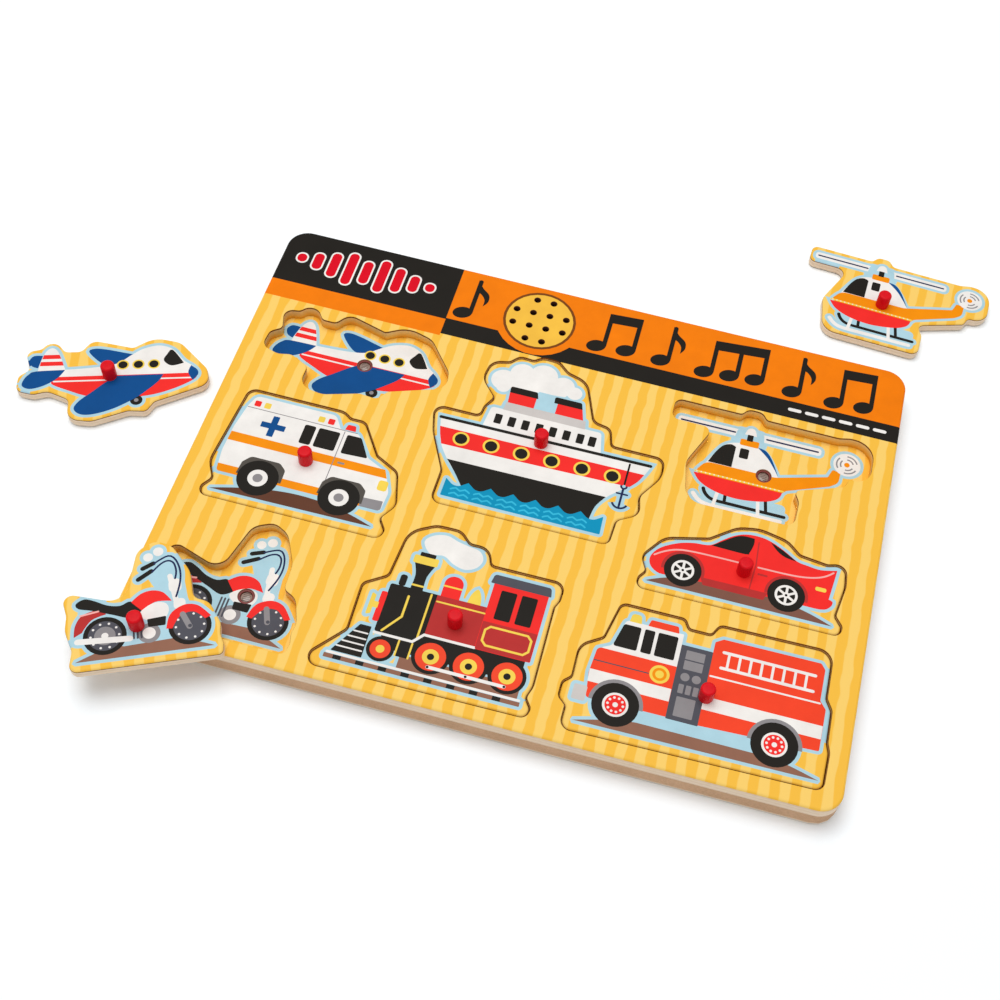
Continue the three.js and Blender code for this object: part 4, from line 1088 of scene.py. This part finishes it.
def note(x, y, tall, flag=False):
    """A quaver: an oval head, a stem and, where asked, a flag."""
    turns = [(math.cos(math.radians(a)), math.sin(math.radians(a))) for a in range(0, 360, 15)]
    head = [Vector((x + 4.5 * c - 0.9 * s, y + 1.4 * c + 3.3 * s)) for c, s in turns]
    stem, top = x + 3.6, y + tall
    shapes = [("black", lambda grow: swollen(head, grow)), line("black", 2.2, (stem, y + 1), (stem, top))]
    if flag:
        shapes.append(curve(
            "black", (x + 2.5, top + 1, 0), (x + 5.4, top - 3.4), (x + 9.4, top - 7), (x + 10, top - 11.4),
            (x + 8.2, top - 14.6, 0), (x + 8, top - 10.6), (x + 5.6, top - 7.6), (x + 2.5, top - 6.4, 0)))
    return shapes


def beamed(x, y, tall, count, gap):
    """Notes under one beam that rises a little."""
    slope, over, under = 1.1, 1.1, 4.6
    shapes = [shape for i in range(count) for shape in note(x + gap * i, y + slope * i, tall)]
    left, right, top, rise = x + 2.5, x + gap * (count - 1) + 4.7, y + tall, slope * (count - 1)
    shapes.append(area("black", (left, top - under, 0.1), (right, top + rise - under, 0.1),
                       (right, top + rise + over, 0.1), (left, top + over, 0.1)))
    return shapes


def header():
    """The header band: black and orange blocks with plain level bars, notes and dashes."""
    left, split, right, top, middle = -160, -66, 160, 120, 97.4
    shapes = [
        block("black", left, 81.3, split, top, 0.1),
        block("header_orange", left, 71, split, 81.3, 0.1),
        block("header_orange", split, 82, right, top, 0.1),
        block("black", split, 72.3, right, 82, 0.1),
    ]
    for i, tall in enumerate((5, 10, 15, 20, 14, 20, 15, 10, 5)):
        x, low, high = -142.6 + 8 * i, middle - tall / 2, middle + tall / 2
        shapes += [
            block("white", x - 3.1, low - 0.9, x + 3.1, high + 0.9, 3),
            block("badge_red", x - 2.3, low, x + 2.3, high, 2.2),
        ]
    shapes += note(-59.6, 87.6, 21, True)
    shapes += beamed(6, 87, 20, 2, 14) + note(37, 87.6, 21, True)
    shapes += beamed(58, 87, 19, 3, 12) + note(100, 87.6, 21, True) + beamed(120, 87, 20, 2, 14)
    shapes += [line("white", 1.8, (x, 77.2), (x + 4.6, 77.2)) for x in range(101, 142, 8)]
    shapes += target(*GRILLE_AT, ("header_orange", 20.9), ("scorch", 17.4), ("deep_yellow", 16.1))
    return [(ink, shape(0)) for ink, shape in shapes]


# Meshes


def partition(outline, shapes, holes):
    """Cuts a flat outline into triangles along every shape.

    Gives their corners, the triangles with the number of the shape on top, and the corners' old numbers.
    """
    outlines = [outline] + [points for _, points in shapes] + holes
    spots, faces = [], []
    for points in outlines:
        ordered = points if signed_area(points) > 0 else points[::-1]
        faces.append(range(len(spots), len(spots) + len(ordered)))
        spots += [Vector(p) for p in ordered]
    inside, tolerance = 1, 1e-3
    made = delaunay_2d_cdt(spots, [], [list(f) for f in faces], inside, tolerance, True)
    places, _, triangles, origins, _, covers = made
    first_hole = 1 + len(shapes)
    kept = [(face, max(ids)) for face, ids in zip(triangles, covers) if 0 in ids and max(ids) < first_hole]
    return [tuple(p) for p in places], kept, origins


def rims(triangles):
    """The boundary loops of some triangles, with the material on the left."""
    sides = {(a, b) for t in triangles for a, b in zip(t, (*t[1:], t[0]))}
    after = {a: b for a, b in sides if (b, a) not in sides}
    loops = []
    while after:
        start, at = next(iter(after.items()))
        loop = [start]
        del after[start]
        while at != start:
            loop.append(at)
            at = after.pop(at)
        loops.append(loop)
    return loops


class Slab:
    """A flat printed body under way: its corners in millimetres, and its faces with their inks."""

    def __init__(self):
        self.spots, self.faces, self.paints, self.smooth = [], [], [], []
        self.edges = {}

    def face(self, corners, paint, smooth=False):
        self.faces.append(corners)
        self.paints.append(paint)
        self.smooth.append(smooth)

    def top(self, outline, shapes, holes, ground, height):
        """The printed top; gives its rims."""
        spots, kept, _ = partition(outline, shapes, holes)
        used = sorted({i for face, _ in kept for i in face})
        number = {old: len(self.spots) + new for new, old in enumerate(used)}
        self.spots += [(*spots[i], height) for i in used]
        paints = [ground] + [ink for ink, _ in shapes]
        triangles = [[number[i] for i in face] for face, _ in kept]
        for triangle, (_, shape) in zip(triangles, kept):
            self.face(triangle, paints[shape])
            self.edges.update({side: paints[shape] for side in zip(triangle, triangle[1:] + triangle[:1])})
        return sorted(rims(triangles), key=lambda rim: -abs(signed_area([self.spots[i][:2] for i in rim])))

    def wall(self, rim, profile, paint, wrapped=0, gap_shaded=0):
        """A wall from a rim along steps of (outwards, height); gives its last ring.

        The first steps, as many as are wrapped, carry the print on, and the next carry painted shade: the
        dark brown that stands for the shade in the gap.
        """
        places = [Vector(self.spots[i][:2]) for i in rim]
        shift = outward(places)
        last = rim
        for step, (out, height) in enumerate(profile):
            ring = list(range(len(self.spots), len(self.spots) + len(rim)))
            self.spots += [(*(p + s * out), height) for p, s in zip(places, shift)]
            for i in range(len(rim)):
                j = (i + 1) % len(rim)
                if step < wrapped:
                    tone = self.edges[rim[i], rim[j]]
                else:
                    # Painted shade: the steps after the print take the dark brown that stands for the shade
                    # in the gap.
                    tone = "scorch" if step < wrapped + gap_shaded else paint
                self.face((ring[i], ring[j], last[j], last[i]), tone, True)
            last = ring
        return last

    def close(self, ring, holes, paint, up=False):
        """A flat face over a ring, less the rings in it."""
        rings = [ring] + holes
        spots = [[self.spots[i][:2] for i in r] for r in rings]
        flipped = [r if signed_area(s) > 0 else r[::-1] for r, s in zip(rings, spots)]
        outlines = [[self.spots[i][:2] for i in r] for r in flipped]
        _, kept, origins = partition(outlines[0], [], outlines[1:])
        index = [i for r in flipped for i in r]
        for face, _ in kept:
            corners = [index[origins[i][0]] for i in face]
            self.face(corners if up else corners[::-1], paint)

    def build(self, name, shift=(0, 0)):
        """The mesh object, its origin at shift on the board."""
        mesh = bpy.data.meshes.new(name)
        x, y = shift
        mesh.from_pydata([((a - x) * MM, (b - y) * MM, c * MM) for a, b, c in self.spots], [], self.faces)
        slots = sorted(set(self.paints))
        for paint in slots:
            mesh.materials.append(MATERIALS[paint])
        mesh.polygons.foreach_set("material_index", [slots.index(p) for p in self.paints])
        mesh.polygons.foreach_set("use_smooth", self.smooth)
        prints = mesh.uv_layers.new(name="print")
        for corner in mesh.loops:
            a, b, _ = self.spots[corner.vertex_index]
            prints.data[corner.index].uv = (a * MM, b * MM)
        mesh.validate()
        return add_object(name, mesh)


def add_object(name, mesh):
    """An object in the scene."""
    made = bpy.data.objects.new(name, mesh)
    bpy.context.scene.collection.objects.link(made)
    return made


def rectangle(low, high, radius):
    """The corners of a box given in metres, seen from above, each with a radius."""
    corners = ((low.x, low.y), (high.x, low.y), (high.x, high.y), (low.x, high.y))
    return [(x / MM, y / MM, radius) for x, y in corners]


def eased(radius, high, steps=4):
    """Steps of a rounded upper edge."""
    angles = [math.pi / 2 * i / steps for i in range(1, steps + 1)]
    return [(radius * math.sin(a), high - radius * (1 - math.cos(a))) for a in angles]


def turned(name, profile, sides, material):
    """A turned body from (radius, height) in millimetres, from the bottom of the axis to its top."""
    inner = profile[1:-1]
    spots = [(0, 0, profile[0][1] * MM)]
    for r, z in inner:
        spots += [(a * MM, b * MM, z * MM) for a, b in circle(0, 0, r, 360 / sides)]
    spots.append((0, 0, profile[-1][1] * MM))
    rows = [list(range(1 + sides * k, 1 + sides * (k + 1))) for k in range(len(inner))]
    faces = []
    for i in range(sides):
        j = (i + 1) % sides
        faces.append((0, rows[0][j], rows[0][i]))
        faces += [(a[i], a[j], b[j], b[i]) for a, b in zip(rows, rows[1:])]
        faces.append((rows[-1][i], rows[-1][j], len(spots) - 1))
    mesh = bpy.data.meshes.new(name)
    mesh.from_pydata(spots, [], faces)
    mesh.materials.append(material)
    mesh.shade_smooth()
    crease = math.radians(40)
    mesh.set_sharp_from_angle(angle=crease)
    return mesh


def centre_of(node):
    """The middle of a node's box."""
    low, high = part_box(node)
    return (low + high) / 2


def grille_places():
    """Where the grille's holes stand, row by row."""
    x, y = GRILLE_AT
    middle = (len(GRILLE_ROWS) - 1) / 2
    return [
        (x + (i - (count - 1) / 2) * GRILLE_PITCH, y + (middle - row) * GRILLE_PITCH)
        for row, count in enumerate(GRILLE_ROWS)
        for i in range(count)
    ]


# Operators


class PUZZLE_OT_stage(bpy.types.Operator):
    """Pale floor, soft studio light and the camera"""

    bl_idname = "puzzle.stage"
    bl_label = "Stage"

    def execute(self, context):
        scene = context.scene
        scene.view_settings.view_transform = "Standard"
        mesh = bpy.data.meshes.new("floor")
        corners = [(x * FLOOR_REACH, y * FLOOR_REACH) for x, y in ((-1, -1), (1, -1), (1, 1), (-1, 1))]
        mesh.from_pydata([(x, y, -FLOOR_DROP) for x, y in corners], [], [(0, 1, 2, 3)])
        mesh.materials.append(floor_finish())
        add_object("floor", mesh)
        world = scene.world or bpy.data.worlds.new("studio")
        scene.world = world
        world.use_nodes = True
        background = world.node_tree.nodes["Background"]
        background.inputs["Color"].default_value = (1, 1, 1, 1)
        background.inputs["Strength"].default_value = WORLD_STRENGTH
        lamp = bpy.data.lights.new("softbox", "AREA")
        lamp.energy = SOFTBOX_POWER
        lamp.size = SOFTBOX_SIZE
        light = bpy.data.objects.new("softbox", lamp)
        light.location = SOFTBOX_AT
        light.rotation_euler = (-light.location).to_track_quat("-Z", "Y").to_euler()
        scene.collection.objects.link(light)
        camera = bpy.data.objects.new("camera", bpy.data.cameras.new("camera"))
        camera.data.sensor_width = CAMERA_SENSOR
        camera.data.lens = CAMERA_LENS
        camera.data.shift_x, camera.data.shift_y = CAMERA_SHIFT
        turn = Matrix(CAMERA_AXES).transposed().to_4x4()
        camera.matrix_world = Matrix.Translation(CAMERA_AT) @ turn
        scene.collection.objects.link(camera)
        scene.camera = camera
        return {"FINISHED"}


class PUZZLE_OT_finishes(bpy.types.Operator):
    """The inks and the wood finishes that the printed pieces share"""

    bl_idname = "puzzle.finishes"
    bl_label = "Inks and woods"

    def execute(self, context):
        for name in PuzzleInks.__annotations__:
            MATERIALS[name] = ink_finish(name)
        MATERIALS["stripes"] = stripe_finish()
        MATERIALS["birch"] = birch_finish()
        MATERIALS["recess"] = recess_finish()
        MATERIALS["peg"] = peg_finish()
        return {"FINISHED"}


class PUZZLE_OT_board(bpy.types.Operator):
    """The board: the printed face plate with its recesses and grille, the middle layer and the back"""

    bl_idname = "puzzle.board"
    bl_label = "Board"

    def execute(self, context):
        edge, rim = size("board_edge"), size("recess_edge")
        border = rounded(rectangle(*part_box("face_plate"), BOARD_CORNER), -edge)
        recesses = [outline_of(name, size("fit") + rim) for name in VEHICLES]
        holes = [circle(*spot, GRILLE_HOLE + GRILLE_EASE, step=15) for spot in grille_places()]
        slab = Slab()
        outer, *openings = slab.top(border, header(), recesses + holes, "stripes", TOP_Z)
        outside = slab.wall(outer, eased(edge, TOP_Z) + [(edge, FLOOR_Z)], "birch", wrapped=3)
        mouths = []
        for opening in openings[:len(recesses)]:
            # Under its rim each recess wall carries a band of painted shade for the gap round its piece.
            steps = eased(rim, TOP_Z, 2) + [(rim, TOP_Z - size("scorch")), (rim, FLOOR_Z)]
            mouths.append(slab.wall(opening, steps, "recess", wrapped=1, gap_shaded=2))
        for opening in openings[len(recesses):]:
            steps = eased(GRILLE_EASE, TOP_Z, 2) + [(GRILLE_EASE, FLOOR_Z)]
            # Painted shade: the walls of the grille's holes are dark brown to stand for the shade down in
            # the holes.
            mouths.append(slab.wall(opening, steps, "umber"))
        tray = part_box("battery_tray")
        pocket = rounded(rectangle(*tray, TRAY_CORNER), TRAY_ROOM)
        mouth = list(range(len(slab.spots), len(slab.spots) + len(pocket)))
        slab.spots += [(*p, FLOOR_Z) for p in pocket]
        roof = slab.wall(mouth[::-1], [(0, tray[1].z / MM + TRAY_ROOM)], "birch")
        slab.close(roof[::-1], [], "birch")
        slab.close(outside, mouths + [mouth], "birch")
        face = slab.build("printed_face")
        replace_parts(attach(face, "board"), "face_plate")
        dress(fibre_finish(), "core_panel")
        dress(back_finish(), "back_panel")
        return {"FINISHED"}


class PUZZLE_OT_pictures(bpy.types.Operator):
    """The printed picture on the floor of each recess, with a window for its sensor"""

    bl_idname = "puzzle.pictures"
    bl_label = "Recess pictures"

    def execute(self, context):
        top, trim = FLOOR_Z + size("paper"), 0.02
        for name, vehicle in VEHICLES.items():
            slab = Slab()
            window = circle(*vehicle.sensor, SENSOR_MOUTH, step=15)
            outline = outline_of(name, size("fit") - trim)
            loops = slab.top(outline, picture_of(name), [window], "stripes", top)
            rings = [slab.wall(loop, [(0, FLOOR_Z)], "birch") for loop in loops]
            slab.close(rings[0], rings[1:], "birch")
            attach(slab.build(name + "_picture"), "board")
        return {"FINISHED"}


class PUZZLE_OT_pieces(bpy.types.Operator):
    """The eight vehicle pieces, printed on top and with sanded edges"""

    bl_idname = "puzzle.pieces"
    bl_label = "Vehicle pieces"

    def execute(self, context):
        edge, low = size("piece_edge"), size("paper")
        for name, vehicle in VEHICLES.items():
            slab = Slab()
            rim = slab.top(outline_of(name, -edge), picture_of(name), [], "stripes", PIECE_TOP)[0]
            foot = [(out, PIECE_TOP + low - height) for out, height in reversed(eased(edge, PIECE_TOP))]
            steps = eased(edge, PIECE_TOP) + foot + [(0, low)]
            # One step under the printed rim carries painted shade for the gap round the seated piece.
            slab.close(slab.wall(rim, steps, "birch", wrapped=3, gap_shaded=1), [], "birch")
            piece = slab.build(name + "_body", vehicle.peg)
            centre = centre_of(name + "_peg")
            place = Matrix.Translation((centre.x, centre.y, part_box(name + "_piece")[0].z))
            piece.matrix_world = place @ Matrix.Rotation(math.radians(vehicle.turn), 4, "Z")
            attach(piece, name)
            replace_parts(piece, name + "_piece")
        return {"FINISHED"}


class PUZZLE_OT_pegs(bpy.types.Operator):
    """The turned and lacquered pegs"""

    bl_idname = "puzzle.pegs"
    bl_label = "Pegs"

    def execute(self, context):
        low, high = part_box("ship_peg")
        radius = (high.x - low.x) / 2 / MM
        tall = (high.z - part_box("ship_piece")[1].z) / MM
        ease, sunk, taper, waist = size("peg_round"), 0.4, 0.1, tall * 0.2
        foot = [(0, -sunk), (radius - taper, -sunk), (radius - taper / 2, waist)]
        top = [(r + radius - ease, z) for r, z in reversed(eased(ease, tall, 7))]
        profile = foot + top + [(radius - ease, tall), (0, tall)]
        mesh = turned("peg", profile, sides=48, material=MATERIALS["peg"])
        for name in VEHICLES:
            centre = centre_of(name + "_peg")
            peg = add_object(name + "_handle", mesh)
            peg.location = (centre.x, centre.y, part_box(name + "_piece")[1].z)
            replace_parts(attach(peg, name), name + "_peg")
        return {"FINISHED"}


class PUZZLE_OT_sensors(bpy.types.Operator):
    """The light sensors in the recess floors, each a resin disc in a dark collar"""

    bl_idname = "puzzle.sensors"
    bl_label = "Light sensors"

    def execute(self, context):
        low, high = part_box("ship_sensor")
        radius, deep = (high.x - low.x) / 2 / MM, 2
        bulge = [(0, -deep), (radius, -deep), (radius, -0.2), (radius - 0.3, 0.05), (radius * 0.5, 0.2),
                 (0, 0.24)]
        face = turned("sensor_face", bulge, sides=32, material=sensor_finish())
        MATERIALS["collar"] = moulded_finish("sensor_collar", finishes().collar, roughness=0.4)
        ledge, ease, lift, outer_room, inner_room = 0.5, 0.2, 0.02, 0.35, 0.3
        outer, inner = circle(0, 0, SENSOR_MOUTH - outer_room), circle(0, 0, radius + inner_room)
        steps = eased(ease, ledge, 2) + [(ease, lift)]
        for name, vehicle in VEHICLES.items():
            sensor = add_object(name + "_light_sensor", face)
            x, y = vehicle.sensor
            sensor.location = (x * MM, y * MM, high.z)
            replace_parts(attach(sensor, "board"), name + "_sensor")
            ring = Slab()
            loops = ring.top(outer, [], [inner], "collar", ledge)
            rings = [ring.wall(loop, steps, "collar") for loop in loops]
            ring.close(rings[0], rings[1:], "collar")
            collar = ring.build(name + "_sensor_collar")
            collar.location = sensor.location
            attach(collar, "board")
        return {"FINISHED"}


class PUZZLE_OT_sound_works(bpy.types.Operator):
    """The speaker under the grille, the circuit board and the leads"""

    bl_idname = "puzzle.sound_works"
    bl_label = "Sound works"

    def execute(self, context):
        paints = finishes()
        steel = metal_finish("pressed_steel", paints.steel, roughness=0.3)
        dress(steel, "speaker_basket", "speaker_magnet")
        dress(moulded_finish("cone_paper", paints.paper, roughness=0.75), "speaker_cone")
        dress(laminate_finish(), "sound_board")
        dress(moulded_finish("chip_resin", paints.chip, roughness=0.2), "sound_chip")
        sleeve = moulded_finish("wire_sleeve", paints.wire, roughness=0.4)
        dress(sleeve, *[n for n in NODES if n.endswith("_lead")])
        return {"FINISHED"}


class PUZZLE_OT_battery_box(bpy.types.Operator):
    """The battery box in the back, with its cells, contacts, door and screw"""

    bl_idname = "puzzle.battery_box"
    bl_label = "Battery box"

    def execute(self, context):
        paints = finishes()
        black = moulded_finish("moulded_black", paints.plastic, roughness=0.42)
        dress(black, "battery_tray", "battery_door")
        sleeve = moulded_finish("cell_sleeve", paints.cell, roughness=0.25)
        dress(sleeve, "battery_cell_front", "battery_cell_back")
        MATERIALS["plating"] = metal_finish("bright_plating", paints.steel, roughness=0.22)
        dress(MATERIALS["plating"], *[n for n in NODES if n.startswith("contact_")])
        low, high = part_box("door_screw")
        head, tall = (high.x - low.x) / 2 / MM, (high.z - low.z) / MM
        ease, thick, core, tip = 0.15, 0.8, 1.1, 0.6
        arm, half, sunk = 1.5, 0.36, 0.5
        slot = [(half, arm), (-half, arm), (-half, half), (-arm, half), (-arm, -half), (-half, -half),
                (-half, -arm), (half, -arm), (half, -half), (arm, -half), (arm, half), (half, half)]
        screw = Slab()
        rim, cross = screw.top(circle(0, 0, head - ease), [], [slot], "plating", 0)
        shank = ease + core - head
        under = [(ease, -thick), (shank, -thick), (shank, tip - tall), (shank - tip, -tall)]
        screw.close(screw.wall(rim, eased(ease, 0, 2) + under, "plating"), [], "plating")
        screw.close(screw.wall(cross, [(0, -sunk)], "plating"), [], "plating", up=True)
        body = screw.build("cross_screw")
        at = ((low.x + high.x) / 2, (low.y + high.y) / 2, low.z)
        body.matrix_world = Matrix.Translation(at) @ Matrix.Rotation(math.pi, 4, "X")
        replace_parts(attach(body, "screw"), "door_screw")
        return {"FINISHED"}


STEPS = ("stage", "finishes", "board", "pictures", "pieces", "pegs", "sensors", "sound_works", "battery_box")


class PUZZLE_PT_panel(bpy.types.Panel):
    """Lists the steps that dress the puzzle"""

    bl_label = "Sound Puzzle"
    bl_idname = "PUZZLE_PT_panel"
    bl_space_type = "VIEW_3D"
    bl_region_type = "UI"
    bl_category = "Puzzle"

    def draw(self, context):
        for step in STEPS:
            self.layout.operator("puzzle." + step)


GROUPS = {"puzzle_inks": PuzzleInks, "puzzle_finishes": PuzzleFinishes, "puzzle_sizes": PuzzleSizes}
CLASSES = (
    *GROUPS.values(),
    PUZZLE_OT_stage,
    PUZZLE_OT_finishes,
    PUZZLE_OT_board,
    PUZZLE_OT_pictures,
    PUZZLE_OT_pieces,
    PUZZLE_OT_pegs,
    PUZZLE_OT_sensors,
    PUZZLE_OT_sound_works,
    PUZZLE_OT_battery_box,
    PUZZLE_PT_panel,
)


def register():
    for cls in CLASSES:
        bpy.utils.register_class(cls)
    for name, group in GROUPS.items():
        setattr(bpy.types.Scene, name, PointerProperty(type=group))


def unregister():
    for name in GROUPS:
        delattr(bpy.types.Scene, name)
    for cls in reversed(CLASSES):
        bpy.utils.unregister_class(cls)


def main():
    register()
    for step in STEPS:
        getattr(bpy.ops.puzzle, step)()


if __name__ == "__main__":
    main()
